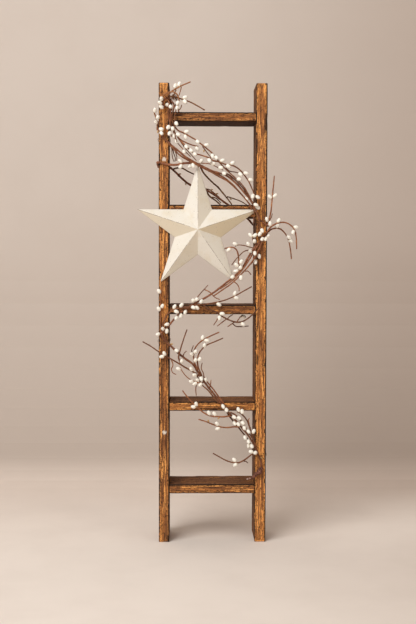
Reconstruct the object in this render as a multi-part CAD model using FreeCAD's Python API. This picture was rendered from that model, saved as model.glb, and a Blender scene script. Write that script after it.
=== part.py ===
import FreeCAD, Part
import math
import os

# Decorative ladder: two deep rails, five shelf-like rungs nailed between them,
# a pressed sheet star hung on the second rung, and a wired twig garland with
# small berries that winds down the ladder.
# Millimetres. +X to the right, +Y to the back, +Z up. The origin is on the
# floor, under the middle of the ladder.

Vector = FreeCAD.Vector

# The ladder's boards
ladder_height = 914.0
left_rail_thickness = 21.0
right_rail_thickness = 22.5
rung_length = 171.0                 # the clear gap between the rails
board_depth = 83.0                  # rails and rungs, front to back
rung_setback = 1.0                  # rung edges lie this far inside the rails' edges
rung_thickness = 18.5
star_rung_thickness = 25.0          # the second rung is a heavier board
rung_top_shares = (0.9378, 0.7391, 0.5218, 0.3104, 0.1280)   # of the ladder's height
star_rung = 1                       # place of the heavier board, counted from the top
worn_edge = 2.0                     # rounding of the long edges
worn_facets = 3                     # facets in the rounding of one edge

# The brads that hold the rungs
brad_length = 38.0
brad_width = 1.6
brad_thickness = 1.4
brad_head_width = 3.0
brad_head_thickness = 1.2
brad_sunk = 0.6                     # the heads are driven below the surface
brad_clearance = 0.05
brad_spread_share = 0.27            # of the board's depth, each side of its middle

# The star
star_width = 239.0                  # across the two side tips
star_height = 233.0                 # top tip to the lower tips
star_rise = 24.0                    # the folded face above its rim
star_rim = 2.0
star_sheet = 0.6
star_across_share = 0.3597          # of the ladder's width, from its left side
star_hang_share = 0.1632            # of the star's height, centre to nail
star_gap = 0.2                      # rim to rails
star_points = 5

# The nail and wire that hang the star
nail_length = 27.0
nail_radius = 1.1
nail_head_radius = 2.8
nail_head_thickness = 1.0
nail_stand = 7.0                    # head's underside above the rung's front edge
nail_up_share = 0.55                # of the rung's thickness
nail_clearance = 0.05
nail_sides = 12
hanger_radius = 0.6
hanger_gap = 0.15
hanger_reach_share = 0.72           # of the way out along the two upper valleys
hanger_bow_share = 0.5              # of the nail's stand, where the wire crosses the rung

# The garland
stem_radius = 2.1                   # main stems
twig_radius = 1.5
fine_radius = 1.05
tip_share = 0.75                    # a twig's radius at its tip
stem_gap = 0.3                      # between a stem and the wood
seat_gap = 0.05                     # between a twig and the stem that carries it
facet_share = math.cos(math.pi / 12)    # a faceted stem's size half-way from flat to corner
layer_pitch = 4.2                   # one layer of stems in front of another
stem_sides = 6
sharp_bend = math.radians(48)       # a corner sharper than this is cut in two
bend_cut_share = 0.3
wrap_radius = 4.0                   # the taped end of the garland
wrap_end_share = 0.35
wrap_gap = 0.6                      # between the last stem's end and the taped end
berry_length = 11.2
berry_radius = 3.4
berry_spread = math.radians(42)     # off the stem's run
berry_tries = 8                     # each leans a berry further forward, until it is clear
slide_shares = (0, 0.3, -0.3, 0.6, -0.6)      # of the berry's length, along its stem, to be clear
berry_gap = 0.1                     # wanted between a berry and what is beside it
berry_sides = 6
seen_share = 0.1                    # of the board's half depth: what lies before it is seen
bud_length = 5.5
bud_radius = 1.3
belly_shares = ((0.36, 0.93), (0.7, 0.9))     # (along the berry, of its radius)
tie_radius = 0.45
tie_tail_share = 5.0                # of the wire's radius, each way at the twist
tie_hump_share = 1.6                # of a stem's radius, half the hump's width over it

# The photograph's frame, in its pixels: the ladder's corners there
top_row_pixel = 83.1
foot_row_pixel = 542.0
left_column_pixel = 158.8
right_column_top_pixel = 267.6
right_column_foot_pixel = 265.7
far_near_share = 0.9763             # the top's distance against the foot's
left_rail_width_share = 0.0979      # of the ladder's width there
right_rail_width_share = 0.1049
# Where the photograph was taken from, as shares of the ladder's sizes
eye_distance_share = 2.264          # of the height, in front of the rails
eye_height_share = 0.6295           # of the height
eye_across_share = -0.2462          # of the width, from the middle

# Worked out from the sizes above
ladder_width = left_rail_thickness + rung_length + right_rail_thickness
left_outer = -ladder_width / 2
left_inner = left_outer + left_rail_thickness
right_outer = ladder_width / 2
right_inner = right_outer - right_rail_thickness
front_face = -board_depth / 2
back_face = board_depth / 2
rung_front = front_face + rung_setback
stem_offset = stem_gap + stem_radius
star_centre_x = left_outer + ladder_width * star_across_share
eye_distance = ladder_height * eye_distance_share
eye_height = ladder_height * eye_height_share
eye_across = ladder_width * eye_across_share


def rung_height_and_thickness(index):
    """The top of a rung above the floor, and its thickness."""
    top = ladder_height * rung_top_shares[index]
    thickness = star_rung_thickness if index == star_rung else rung_thickness
    return top, thickness


def star_nail_height():
    """The height of the nail that the star hangs on."""
    top, thickness = rung_height_and_thickness(star_rung)
    return top - thickness * (1 - nail_up_share)


star_centre_z = star_nail_height() - star_height * star_hang_share


# Boards and brads

def box(x_low, x_high, y_low, y_high, z_low, z_high):
    """A box between two corners."""
    block = Part.makeBox(x_high - x_low, y_high - y_low, z_high - z_low)
    block.translate(Vector(x_low, y_low, z_low))
    return block


def worn_section(low, high):
    """A board's section between two corners, its own corners rounded in facets."""
    middle = ((low[0] + high[0]) / 2, (low[1] + high[1]) / 2)
    section = []
    for quarter in range(4):
        for step in range(worn_facets + 1):
            turn = (quarter + step / worn_facets) * math.pi / 2
            halfway = (quarter + 1 / 2) * math.pi / 2
            reach = [(high[axis] - low[axis]) / 2 - worn_edge for axis in range(2)]
            side = (math.copysign(1, math.cos(halfway)), math.copysign(1, math.sin(halfway)))
            section.append((middle[0] + side[0] * reach[0] + worn_edge * math.cos(turn),
                            middle[1] + side[1] * reach[1] + worn_edge * math.sin(turn)))
    return section


def drawn_out(corners, run):
    """A solid: a flat outline drawn out along a run."""
    return Part.Face(Part.makePolygon(corners + corners[:1])).extrude(run)


def brad_places(index):
    """Height and depth of the two brads at one end of a rung."""
    top, thickness = rung_height_and_thickness(index)
    spread = board_depth * brad_spread_share
    return [(-spread, top - thickness / 2), (spread, top - thickness / 2)]


def brad(outer_x, inward, place, clearance):
    """A brad driven in from a rail's outer face, or with a clearance its hole."""
    y, z = place
    head_x = outer_x + inward * brad_sunk
    tip_x = head_x + inward * (brad_length + clearance)
    shank_half = brad_thickness / 2 + clearance
    width_half = brad_width / 2 + clearance
    head_half = brad_head_width / 2 + clearance
    neck_x = head_x + inward * (brad_head_thickness + clearance)
    start_x = outer_x - inward * brad_sunk if clearance else head_x
    head = box(min(start_x, neck_x), max(start_x, neck_x), y - shank_half, y + shank_half,
               z - head_half, z + head_half)
    shank = box(min(neck_x, tip_x), max(neck_x, tip_x), y - shank_half, y + shank_half,
                z - width_half, z + width_half)
    return head.fuse(shank).removeSplitter()


def brads(outer_x, inward, clearance):
    """All brads of one rail, or their holes."""
    group = []
    for index in range(len(rung_top_shares)):
        for place in brad_places(index):
            group.append(brad(outer_x, inward, place, clearance))
    return group


def rail(outer_x, inner_x):
    """One rail, with the holes of its brads."""
    inward = 1 if inner_x > outer_x else -1
    section = worn_section((min(outer_x, inner_x), front_face), (max(outer_x, inner_x), back_face))
    block = drawn_out([Vector(x, y, 0) for x, y in section], Vector(0, 0, ladder_height))
    return block.cut(Part.makeCompound(brads(outer_x, inward, brad_clearance)))


def rung(index):
    """One rung between the rails, with its brad holes and the star's nail hole."""
    top, thickness = rung_height_and_thickness(index)
    section = worn_section((rung_front, top - thickness), (back_face - rung_setback, top))
    block = drawn_out([Vector(left_inner, y, z) for y, z in section], Vector(rung_length, 0, 0))
    holes = []
    for place in brad_places(index):
        holes.append(brad(left_outer, 1, place, brad_clearance))
        holes.append(brad(right_outer, -1, place, brad_clearance))
    if index == star_rung:
        holes.append(star_nail(nail_clearance))
    return block.cut(Part.makeCompound(holes))


# The star and what hangs it

def pin(start_y, length, radius):
    """A many-sided pin that runs back from a depth, at the star's nail."""
    middle = Vector(star_centre_x, start_y, star_nail_height())
    corners = [middle + offset * radius for offset in round_offsets(Vector(0, 1, 0), nail_sides)]
    return drawn_out(corners, Vector(0, length, 0))


def star_nail(clearance):
    """The round nail in the second rung, or with a clearance its hole."""
    shank = pin(rung_front - nail_stand, nail_length - nail_head_thickness + clearance,
                nail_radius + clearance)
    if clearance:
        return shank
    head = pin(rung_front - nail_stand - nail_head_thickness, nail_head_thickness, nail_head_radius)
    return head.fuse(shank).removeSplitter()


def star_outline(inset):
    """Corners of the star, from the top tip and round, as places from its centre."""
    tip_turn = 2 * math.pi / star_points
    x_radius = star_width / 2 / math.sin(tip_turn)
    z_radius = star_height / (1 + math.cos(tip_turn / 2))
    edge_share = math.cos(tip_turn)                 # of the tips' radius, centre to an edge's line
    corner_share = edge_share / math.cos(tip_turn / 2)
    shrink = 1 - inset / (min(x_radius, z_radius) * edge_share)
    corners = []
    for step in range(2 * star_points):
        turn = step * tip_turn / 2
        reach = shrink if step % 2 == 0 else shrink * corner_share
        corners.append((x_radius * reach * math.sin(turn), z_radius * reach * math.cos(turn)))
    return corners


def star_block(inset, shoulder, peak, back):
    """A solid star: a straight rim up to the shoulder, then facets to the peak."""
    rim_y = front_face - star_gap
    outline = star_outline(inset)

    def at(corner, depth):
        return Vector(star_centre_x + corner[0], rim_y - depth, star_centre_z + corner[1])

    apex = at((0, 0), peak)
    faces = [Part.Face(Part.makePolygon([at(corner, -back) for corner in outline + outline[:1]]))]
    for step, corner in enumerate(outline):
        after = outline[(step + 1) % len(outline)]
        low = [at(corner, -back), at(after, -back)]
        high = [at(corner, shoulder), at(after, shoulder)]
        faces.append(Part.Face(Part.makePolygon([low[0], low[1], high[1], high[0], low[0]])))
        faces.append(Part.Face(Part.makePolygon([high[0], high[1], apex, high[0]])))
    return Part.makeSolid(Part.makeShell(faces))


def star_slope():
    """The facets' slope, as an angle from the rim's plane."""
    tip_turn = 2 * math.pi / star_points
    z_radius = star_height / (1 + math.cos(tip_turn / 2))
    return math.atan(star_rise / (z_radius * math.cos(tip_turn)))


def star_shell():
    """The pressed star: folded facets, a narrow rim and an open hollow back."""
    slope = star_slope()
    sheet_rise = star_sheet / math.cos(slope)
    outside = star_block(0, star_rim, star_rim + star_rise, 0)
    shoulder = star_rim + star_sheet * math.tan(slope) - sheet_rise
    peak = star_rim + star_rise - sheet_rise
    hollow = star_block(star_sheet, shoulder, peak, star_rim)
    return outside.cut(hollow)


def valley_place(step, share):
    """A place on the inside of the fold to an inner corner of the star."""
    corner = star_outline(star_sheet)[step]
    sheet_rise = star_sheet / math.cos(star_slope())
    depth = star_rim + star_rise * (1 - share) - sheet_rise
    rim_y = front_face - star_gap
    return Vector(star_centre_x + corner[0] * share, rim_y - depth, star_centre_z + corner[1] * share)


def star_hanger():
    """The wire across the star's hollow, soldered to two folds and laid over the nail."""
    left_end = valley_place(2 * star_points - 1, hanger_reach_share)
    right_end = valley_place(1, hanger_reach_share)
    lift = nail_radius + hanger_radius + hanger_gap
    over_nail = Vector(star_centre_x, rung_front - nail_stand * hanger_bow_share, star_nail_height() + lift)
    step_in = Vector(0, hanger_radius * 2, 0)
    half_way_left = (left_end + over_nail) / 2
    half_way_right = (right_end + over_nail) / 2
    crown = Vector(nail_radius * 2, 0, 0)
    route = [left_end + step_in, half_way_left, over_nail - crown, over_nail + crown,
             half_way_right, right_end + step_in]
    return [stem(route, hanger_radius, hanger_radius)]


# Stems, berries and ties of the garland

def round_offsets(direction, sides):
    """Unit offsets round a regular section, square to a direction."""
    upright = Vector(0, 0, 1) if abs(direction.z) < 0.8 else Vector(0, 1, 0)
    first = direction.cross(upright).normalize()
    second = direction.cross(first).normalize()
    offsets = []
    for step in range(sides):
        turn = 2 * math.pi * step / sides
        offsets.append(first * math.cos(turn) + second * math.sin(turn))
    return offsets


def directions(route):
    """The unit direction of each run of a route."""
    return [(after - before).normalize() for before, after in zip(route, route[1:])]


def eased(route):
    """A route whose sharp corners are cut, so that a stem bends there in two steps."""
    smoother = [route[0]]
    for before, corner, after in zip(route, route[1:], route[2:]):
        if (corner - before).getAngle(after - corner) > sharp_bend:
            smoother.append(corner + (before - corner) * bend_cut_share)
            smoother.append(corner + (after - corner) * bend_cut_share)
        else:
            smoother.append(corner)
    return smoother + route[-1:]


def flat_face(*corners):
    """A flat face between corners."""
    return Part.Face(Part.makePolygon([*corners, corners[0]]))


def stem(route, first_radius, last_radius):
    """A faceted stem along straight runs that meet in mitres, tapered to its tip."""
    runs = directions(route)
    offsets = round_offsets(runs[0], stem_sides)
    rings = []
    for index, place in enumerate(route):
        before = runs[max(index - 1, 0)]
        after = runs[min(index, len(runs) - 1)]
        mitre = (before + after).normalize()
        radius = first_radius + (last_radius - first_radius) * index / (len(route) - 1)
        mitred = [offset - before * (offset.dot(mitre) / before.dot(mitre)) for offset in offsets]
        rings.append([place + offset * radius for offset in mitred])
        offsets = [offset - after * offset.dot(after) for offset in mitred]
    faces = [flat_face(*rings[0]), flat_face(*rings[-1])]
    for lower, upper in zip(rings, rings[1:]):
        for step in range(stem_sides):
            beside = (step + 1) % stem_sides
            faces.append(flat_face(lower[step], lower[beside], upper[beside]))
            faces.append(flat_face(lower[step], upper[beside], upper[step]))
    return Part.makeSolid(Part.makeShell(faces))


def berry(root, direction, length, radius):
    """A berry: a small closed pip, pointed at both ends, that stands on its root."""
    offsets = round_offsets(direction, berry_sides)
    rings = []
    for along, belly in belly_shares:
        middle = root + direction * (length * along)
        corners = [middle + offset * (radius * belly) for offset in offsets]
        rings.append(Part.makePolygon(corners + corners[:1]))
    tip = root + direction * length
    return Part.makeLoft([Part.Vertex(root)] + rings + [Part.Vertex(tip)], True, True)


def layer_depth(layer):
    """Y of a layer of stems: 1 touches the front faces, -1 the back faces."""
    outermost = board_depth / 2 + stem_offset
    if abs(layer) <= 1:
        return -outermost * layer
    beyond = (abs(layer) - 1) * layer_pitch
    return -math.copysign(outermost + beyond, layer)


def height_at_row(row):
    """Height on the ladder's front, for a row of the photograph."""
    climb = (foot_row_pixel - row) / (foot_row_pixel - top_row_pixel)
    return ladder_height * climb / (far_near_share + climb * (1 - far_near_share))


def across_at_column(column, row):
    """X on the ladder's front, over a rail or between the rails, for a place of the photograph."""
    fall = (row - top_row_pixel) / (foot_row_pixel - top_row_pixel)
    right_column = right_column_top_pixel + (right_column_foot_pixel - right_column_top_pixel) * fall
    share = (column - left_column_pixel) / (right_column - left_column_pixel)
    if share < left_rail_width_share:
        return left_outer + left_rail_thickness * share / left_rail_width_share
    if share > 1 - right_rail_width_share:
        return right_outer - right_rail_thickness * (1 - share) / right_rail_width_share
    clear_share = 1 - left_rail_width_share - right_rail_width_share
    return left_inner + rung_length * (share - left_rail_width_share) / clear_share


def place(column, row, layer):
    """The place in a layer of stems that the photograph shows at a column and row."""
    x = across_at_column(column, row)
    z = height_at_row(row)
    y = layer_depth(layer)
    widen = 1 + (y - front_face) / eye_distance
    return Vector(eye_across + (x - eye_across) * widen, y, eye_height + (z - eye_height) * widen)


def places(rows):
    """Places for a list of (column, row, layer)."""
    return [place(*row) for row in rows]


def round_rail(face_x, side, first_row, last_row, to_back):
    """The way round a rail's outer or inner face, between a row at its front and one at its back."""
    front_row, back_row = (first_row, last_row) if to_back else (last_row, first_row)
    front_z = height_at_row(front_row)
    back_z = height_at_row(back_row)
    route = [Vector(face_x, front_face - stem_offset, front_z),
             Vector(face_x + side * stem_offset, front_face, front_z),
             Vector(face_x + side * stem_offset, back_face, back_z),
             Vector(face_x, back_face + stem_offset, back_z)]
    return route if to_back else route[::-1]


def main_route(rows):
    """A main stem's route, from its places and its ways round the rails."""
    faces = {"left outer": (left_outer, -1), "left inner": (left_inner, 1), "right outer": (right_outer, 1)}
    route = []
    for row in rows:
        if row[0] in faces:
            face, heading, first_row, last_row = row
            route += round_rail(*faces[face], first_row, last_row, heading == "to back")
        else:
            route.append(place(*row))
    return route


class Twig:
    """One stem of the garland: its route, and its radius from foot to tip."""

    def __init__(self, route, radius):
        self.route = eased(route)
        self.radius = radius

    def solid(self):
        return stem(self.route, self.radius, self.radius * tip_share)

    def radius_at(self, step):
        """The radius at a step of the route, counted in runs."""
        return self.radius * (1 - (1 - tip_share) * step / (len(self.route) - 1))

    def nearest(self, target):
        """The place on this stem nearest to another place, its run and its radius there."""
        hits = []
        for index, (start, end) in enumerate(zip(self.route, self.route[1:])):
            run = end - start
            share = max(0, min(1, (target - start).dot(run) / run.dot(run)))
            here = start + run * share
            hits.append(((target - here).Length, here, run.normalize(), self.radius_at(index + share)))
        return min(hits, key=lambda hit: hit[0])[1:]

    def at(self, distance):
        """The place at a distance along this stem, its run and its radius there."""
        distance = max(distance, 0)
        for index, (start, end) in enumerate(zip(self.route, self.route[1:])):
            run = end - start
            share = min(distance / run.Length, 1)
            if share < 1 or index == len(self.route) - 2:
                return start + run * share, run.normalize(), self.radius_at(index + share)
            distance -= run.Length

    def seen_near(self, target, hidden):
        """How near this stem passes a place as seen from the front, and how far along."""
        hits = []
        travelled = 0
        for start, end in zip(self.route, self.route[1:]):
            run = end - start
            flat_run = Vector(run.x, 0, run.z)
            gap = Vector(target.x - start.x, 0, target.z - start.z)
            in_front = (start.y + end.y) / 2 < front_face * seen_share
            if (in_front or hidden) and flat_run.Length > 0:
                share = max(0, min(1, gap.dot(flat_run) / flat_run.dot(flat_run)))
                hits.append(((gap - flat_run * share).Length, travelled + run.Length * share))
            travelled += run.Length
        return min(hits, default=(ladder_height, 0))


def sprout(carrier, radius, rows):
    """A twig whose foot is seated on the stem that carries it."""
    wanted = places(rows)
    foot, run, carrier_radius = carrier.nearest(wanted[0])
    leaving = (wanted[1] - foot).normalize()
    away = (leaving - run * leaving.dot(run)).normalize()
    end_reach = radius * facet_share * math.sqrt(max(0, 1 - leaving.dot(away) ** 2))
    seat = foot + away * (carrier_radius + end_reach + seat_gap)
    return Twig([seat] + wanted[1:], radius)


def wrapped_end(carrier):
    """The taped end of the garland, thick in its middle."""
    last_run = directions(carrier.route)[-1]
    stand_off = Vector(0, wrap_radius - stem_radius, 0)
    start = carrier.route[-1] + last_run * wrap_gap
    route = [start] + [point - stand_off for point in places(taped_end_pixels)]
    swelling = stem(route[:3], carrier.radius * tip_share, wrap_radius)
    taper = stem(route[2:], wrap_radius, wrap_radius * wrap_end_share)
    return swelling.fuse(taper).removeSplitter()


def wood_gap(point):
    """How far a point lies from the nearest board."""
    boards = [((left_outer, left_inner), (0, ladder_height)),
              ((right_inner, right_outer), (0, ladder_height))]
    for index in range(len(rung_top_shares)):
        top, thickness = rung_height_and_thickness(index)
        boards.append(((left_inner, right_inner), (top - thickness, top)))
    gaps = []
    for (x_low, x_high), (z_low, z_high) in boards:
        off = (max(x_low - point.x, point.x - x_high, 0), max(abs(point.y) - back_face, 0),
               max(z_low - point.z, point.z - z_high, 0))
        gaps.append(Vector(*off).Length)
    return min(gaps)


def berry_room(root, direction, length, radius, stems, others):
    """The least gap round a berry: to boards, stems and the berries set before it."""
    room = ladder_height
    for share, belly in belly_shares:
        middle = root + direction * (length * share)
        reach = radius * belly
        room = min(room, wood_gap(middle) - reach)
        for start, end, twig in stems:
            run = end - start
            along_share = max(0, min(1, (middle - start).dot(run) / run.dot(run)))
            room = min(room, (middle - start - run * along_share).Length - twig.radius - reach)
        for other, other_reach in others:
            room = min(room, (middle - other).Length - other_reach - reach)
    return room


def seated_berry(spot, length, radius, twigs, stems, others, hidden=False):
    """A berry at a place of the photograph, rooted on the nearest stem, clear of the rest."""
    target = place(*spot, 1)
    hits = [twig.seen_near(target, hidden) + (twig,) for twig in twigs]
    miss, travelled, twig = min(hits, key=lambda hit: hit[0])
    back = (twig.radius + length / 2) * math.cos(berry_spread)
    near = [piece for piece in stems if piece[2] is not twig
            and (piece[0] - target).Length < (piece[0] - piece[1]).Length + 3 * length]
    close = [other for other in others if (other[0] - target).Length < 3 * length]
    tries = []
    for slide_share in slide_shares:
        foot, run, stem_size = twig.at(travelled - back + length * slide_share)
        off_stem = stem_size * facet_share + seat_gap
        forward = (run * run.y - Vector(0, 1, 0)).normalize()
        sideways = run.cross(forward)
        if sideways.dot(target - foot) < 0:
            sideways = -sideways
        first_share = min(1, miss / (off_stem + math.sin(berry_spread) * length / 2))
        for step in range(berry_tries):
            share = first_share * (1 - step / berry_tries)
            across = sideways * share + forward * math.sqrt(1 - share ** 2)
            direction = run * math.cos(berry_spread) + across * math.sin(berry_spread)
            root = foot + across * off_stem
            room = berry_room(root, direction, length, radius, near, close)
            tries.append((min(room, berry_gap), root, direction))
            if room > berry_gap:
                break
        if tries[-1][0] == berry_gap:
            break
    room, root, direction = max(tries, key=lambda attempt: attempt[0])
    others += [(root + direction * (length * share), radius * belly) for share, belly in belly_shares]
    return berry(root, direction, length, radius)


def tie(outer_x, inner_x, column, row, layer):
    """A wire tied round a rail, over the stem that crosses it, its ends twisted forward."""
    crossing = place(column, row, layer)
    z = crossing.z
    side = -1 if outer_x < inner_x else 1
    off = stem_gap + tie_radius
    over = stem_radius + off
    half = stem_radius * tie_hump_share + off
    tail = tie_radius * tie_tail_share
    hump_y = crossing.y - over
    route = [Vector(crossing.x - side * half, hump_y - tail, z - tail),
             Vector(crossing.x - side * half, crossing.y - tail, z - off),
             Vector(inner_x - side * off, front_face - off, z),
             Vector(inner_x - side * off, back_face, z),
             Vector(inner_x, back_face + off, z),
             Vector(outer_x, back_face + off, z),
             Vector(outer_x + side * off, back_face, z),
             Vector(outer_x + side * off, front_face - off, z),
             Vector(crossing.x + side * half, crossing.y - tie_radius, z),
             Vector(crossing.x + side * stem_radius, hump_y, z),
             Vector(crossing.x - side * off, hump_y, z),
             Vector(crossing.x - side * half, hump_y - tail, z + tail)]
    return stem(route, tie_radius, tie_radius)


# The garland's main stems. A place is a column and row of the photograph, in pixels,
# with the layer, and a way round a rail has the rows where it starts and ends.
upper_stem_pixels = [
    (164.5, 109, 2), (163, 103, 2.2), (165.5, 98.3, 2), (168.5, 98.3, 1.3),
    ("left inner", "to back", 100, 105), (164.5, 111, -1), ("left outer", "to front", 117, 130),
    (163.5, 137.5, 1), (169, 143.5, 1.2), (178, 151, 1.8), (186, 157.6, 2), (195, 162.8, 2),
    (203, 167, 2), (211, 170.8, 2), (219, 173.3, 2), (226.5, 176, 2), (234, 181.8, 2),
    (240, 187.8, 2), (245.5, 194.3, 2), (250.5, 200.4, 2.2), (254, 206.5, 2.4), (257, 213.5, 1.8),
    (260, 220, 1), ("right outer", "to back", 226, 224.4), (257, 223.6, -1),
]
middle_stem_pixels = [
    (197, 163.8, 1), (190, 163.4, 1), (183.5, 163.8, 1), (176, 165.2, 1), (168, 165, 1),
    (162.5, 163.8, 1), ("left outer", "to back", 163, 164), (165, 165.5, -1), (171, 168.5, -1),
    (176, 173, -1), (181.5, 178.5, -1), (189, 184.5, -1), (198, 188.3, -1), (206.5, 190.8, -1),
    (213.5, 194.6, -1), (221.5, 200.4, -1), (231, 207, -1), (240, 213, -1), (247.5, 218.8, -1),
    (252.5, 224.5, -1), (257.5, 228.6, -1), ("right outer", "to front", 231, 236),
    (263, 237.4, 1), (258.5, 243, 1.3), (252.5, 250.5, 1.8), (247.3, 259, 2), (243, 267, 2),
    (238, 273, 2.3), (231, 279, 2.6), (224, 284.6, 2.6), (215.5, 291.5, 2.3), (205, 298.2, 2),
    (196, 303, 1.6), (188.6, 307.4, 1.3), (183.6, 310.6, 1.1), (180, 313.4, 1), (176, 317.6, 1),
    (172.4, 321.5, 1), (169, 325.6, 1), (165.6, 329.2, 1), (162, 332.6, 1),
    ("left outer", "to back", 334, 336), (166, 337.5, -1),
]
lower_stem_pixels = [
    (161.5, 333, 1), (162.6, 337.6, 1), (167, 342.6, 1), (171.5, 346.8, 1.3), (178, 353, 2),
    (186, 359.5, 2), (193, 364.5, 2.2), (197.3, 371.3, 2.4), (201.7, 378.5, 2.4), (207.3, 386, 2.2),
    (213.9, 394.3, 2), (219.5, 401.3, 1.8), (224.5, 406.8, 1.6), (229.5, 413.5, 1.8), (236, 421.2, 2),
    (243, 429.2, 2), (248.6, 436, 2), (252.7, 442.6, 1.8), (256, 449, 1.4), (258.6, 455, 1),
    (261, 461.3, 1), (261.6, 466.5, 1),
]
taped_end_pixels = [(260.4, 470.2, 1), (257.2, 474, 1), (252.6, 477.6, 1), (246.6, 479, 1)]

# Side twigs: their thickness, the stem that carries them, and their places
top_twig_pixels = [
    ("twig", "upper", [(166.5, 97.5, 2.4), (170.5, 93, 3), (175.8, 89.3, 3), (182, 86, 2.6),
        (190.5, 82.3, 2)]),
    ("fine", "top 0", [(181, 86.4, 2.6), (180.6, 91, 2), (179, 96, 1.6)]),
    ("fine", "top 0", [(175.6, 89.4, 3), (174.8, 93, 2.4), (173.4, 97, 2)]),
    ("twig", "upper", [(168.8, 98.4, 1.6), (173, 96.8, 2.8), (178, 98.4, 3), (184.5, 100.4, 3),
        (190.5, 102.6, 3), (197.5, 106.3, 2.8), (204.8, 110.5, 2.6)]),
    ("fine", "top 3", [(176, 97.6, 2.9), (177, 101, 2), (175.8, 104.6, 1.4), (175.2, 108, 1.2),
        (177.8, 110.4, 1.2), (180.6, 109.6, 1.2), (181.6, 105.3, 1.2)]),
    ("twig", "upper", [(158.4, 131, 0.9), (157.6, 127, 0.8), (156.9, 121.5, 0.9), (155.4, 116, 1),
        (153.4, 110.8, 1.2)]),
    ("twig", "upper", [(163.3, 104.5, 2.2), (161.6, 101.4, 3.2), (162.8, 97.4, 3.7), (166, 94.2, 4),
        (169.6, 92.8, 4.2), (174, 92.6, 4.4), (177.6, 95.6, 4.4), (179, 100.4, 4.1),
        (178.2, 106.6, 3.3), (178.8, 112.4, 2.4)]),
    ("fine", "upper", [(163.8, 106, 2), (167.2, 107.4, 1), (170.2, 110, 1), (170.8, 115.4, 1)]),
]

upper_twig_pixels = [
    ("twig", "upper", [(170.5, 100.5, 1), (174, 105, 1.9), (173.3, 111, 2), (171.8, 118, 2),
        (173.5, 125, 2), (178, 130.8, 2.4), (183.5, 133.4, 2.6), (189.4, 136.6, 2.8), (195, 139.8, 3),
        (200.6, 144, 3), (206.2, 148.4, 3.2), (211.6, 153, 3.2), (216.6, 159, 3.2), (221.5, 165, 3.4),
        (227.2, 171, 3.4), (233.5, 176.6, 3.4), (239.5, 182.2, 3.4), (244.8, 188.6, 3.4),
        (249, 195.8, 3.4), (252.3, 203.5, 3.6)]),
    ("twig", "upper", [(167.1, 98.3, 2), (169.4, 104, 3.1), (168.4, 111, 2.6), (168.9, 118, 2.4),
        (171.4, 126, 2.6), (175, 133.3, 3), (180, 139.6, 3), (186, 143, 3), (191.5, 145.2, 3),
        (198.2, 146.9, 3)]),
    ("fine", "upper 0", [(200, 143.2, 3), (202.8, 145.8, 3.9), (205.4, 148.4, 4)]),
    ("fine", "upper 0", [(203, 146, 3.1), (205.5, 151, 2.6), (208.4, 154.8, 2.4), (211.4, 158.4, 2.6)]),
    ("fine", "upper 1", [(178, 136.8, 3), (180.8, 142.2, 2.3), (184.8, 148, 2.5), (189.8, 153.6, 2.7),
        (196.4, 161, 3.1)]),
    ("twig", "upper 1", [(181, 139.9, 3), (186.6, 147, 3.7), (192.5, 152.8, 3.8), (202, 155.8, 3.8),
        (211, 158.6, 3.6)]),
    ("fine", "upper 1", [(174, 131, 2.8), (176, 140.5, 1.7), (182.5, 149, 1.1), (190.5, 157, 1.1)]),
    ("twig", "upper 5", [(208.5, 157.8, 3.6), (213, 160.8, 4.3), (219, 162.2, 4.5), (226, 164.8, 4.6),
        (232.6, 165.8, 4.4), (237.6, 168.4, 4.3), (241.6, 172, 4.2), (245, 176.4, 4.2),
        (248.6, 181.6, 4.2), (251.4, 187.6, 4.1), (253.6, 193, 4), (255.4, 198.6, 3.8)]),
    ("fine", "main upper", [(198.5, 165, 2), (204, 163.6, 3), (210, 164.3, 3), (217, 167.4, 2.9),
        (223, 170.4, 2.6)]),
    ("fine", "upper 0", [(225, 168.6, 3.4), (229.6, 171.4, 4), (235.4, 172.4, 4.1), (240.8, 174, 4)]),
    ("twig", "main upper", [(213, 171, 2), (220, 175.6, 1.1), (227, 180, 1), (233.5, 185.6, 1),
        (239, 191.8, 1), (244.5, 198.2, 1), (249.2, 203.9, 1.1), (252.4, 208.6, 1.2)]),
    ("twig", "main upper", [(222, 174.2, 2), (228.4, 174.8, 2.9), (234.2, 179.4, 2.9), (240, 185, 2.9),
        (245.3, 191.4, 2.9), (249.8, 198, 2.9), (253.3, 205, 3)]),
    ("fine", "main upper", [(169.4, 143.9, 1.2), (171.9, 148, 1), (172, 153, 0.9), (172.6, 158, 0.9),
        (174, 162, 0.9)]),
    ("fine", "main upper", [(171.3, 145.5, 1.2), (172.9, 149.4, 0.5), (173.8, 154, 0.4),
        (175.4, 158.4, 0.4), (175, 162, 0.4)]),
    ("fine", "main upper", [(174.3, 148, 1.4), (175.5, 152.4, 0.9), (176.9, 157, 0.8),
        (176.4, 161.2, 0.8)]),
    ("twig", "upper 1", [(168.9, 106, 2.9), (170.6, 110.5, 3.9), (170.4, 115, 3.8), (170.4, 120, 3.6),
        (169.9, 126.5, 3.6), (170.6, 132, 3.5), (171.4, 137.4, 3.4)]),
    ("fine", "upper 0", [(173.9, 106, 1.9), (176, 110.5, 2.7), (174.8, 116.5, 2.8), (175, 123, 2.8),
        (174.6, 129.6, 3.4), (175.2, 136, 4), (177, 142.6, 4.1)]),
    ("twig", "main upper", [(168.4, 142.9, 1.2), (173.6, 149.4, 2.4), (179.5, 155.4, 2.9),
        (186.5, 159.9, 3.1), (194.5, 164, 3.2), (203, 168.4, 3.2), (211, 172.4, 3.2),
        (219, 176.9, 3.2), (226, 180.6, 3.2), (233, 186.2, 3.1), (239, 192.2, 3.1), (244.6, 198.4, 3.1),
        (249, 204.2, 3.2), (251.8, 210, 3)]),
]

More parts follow.
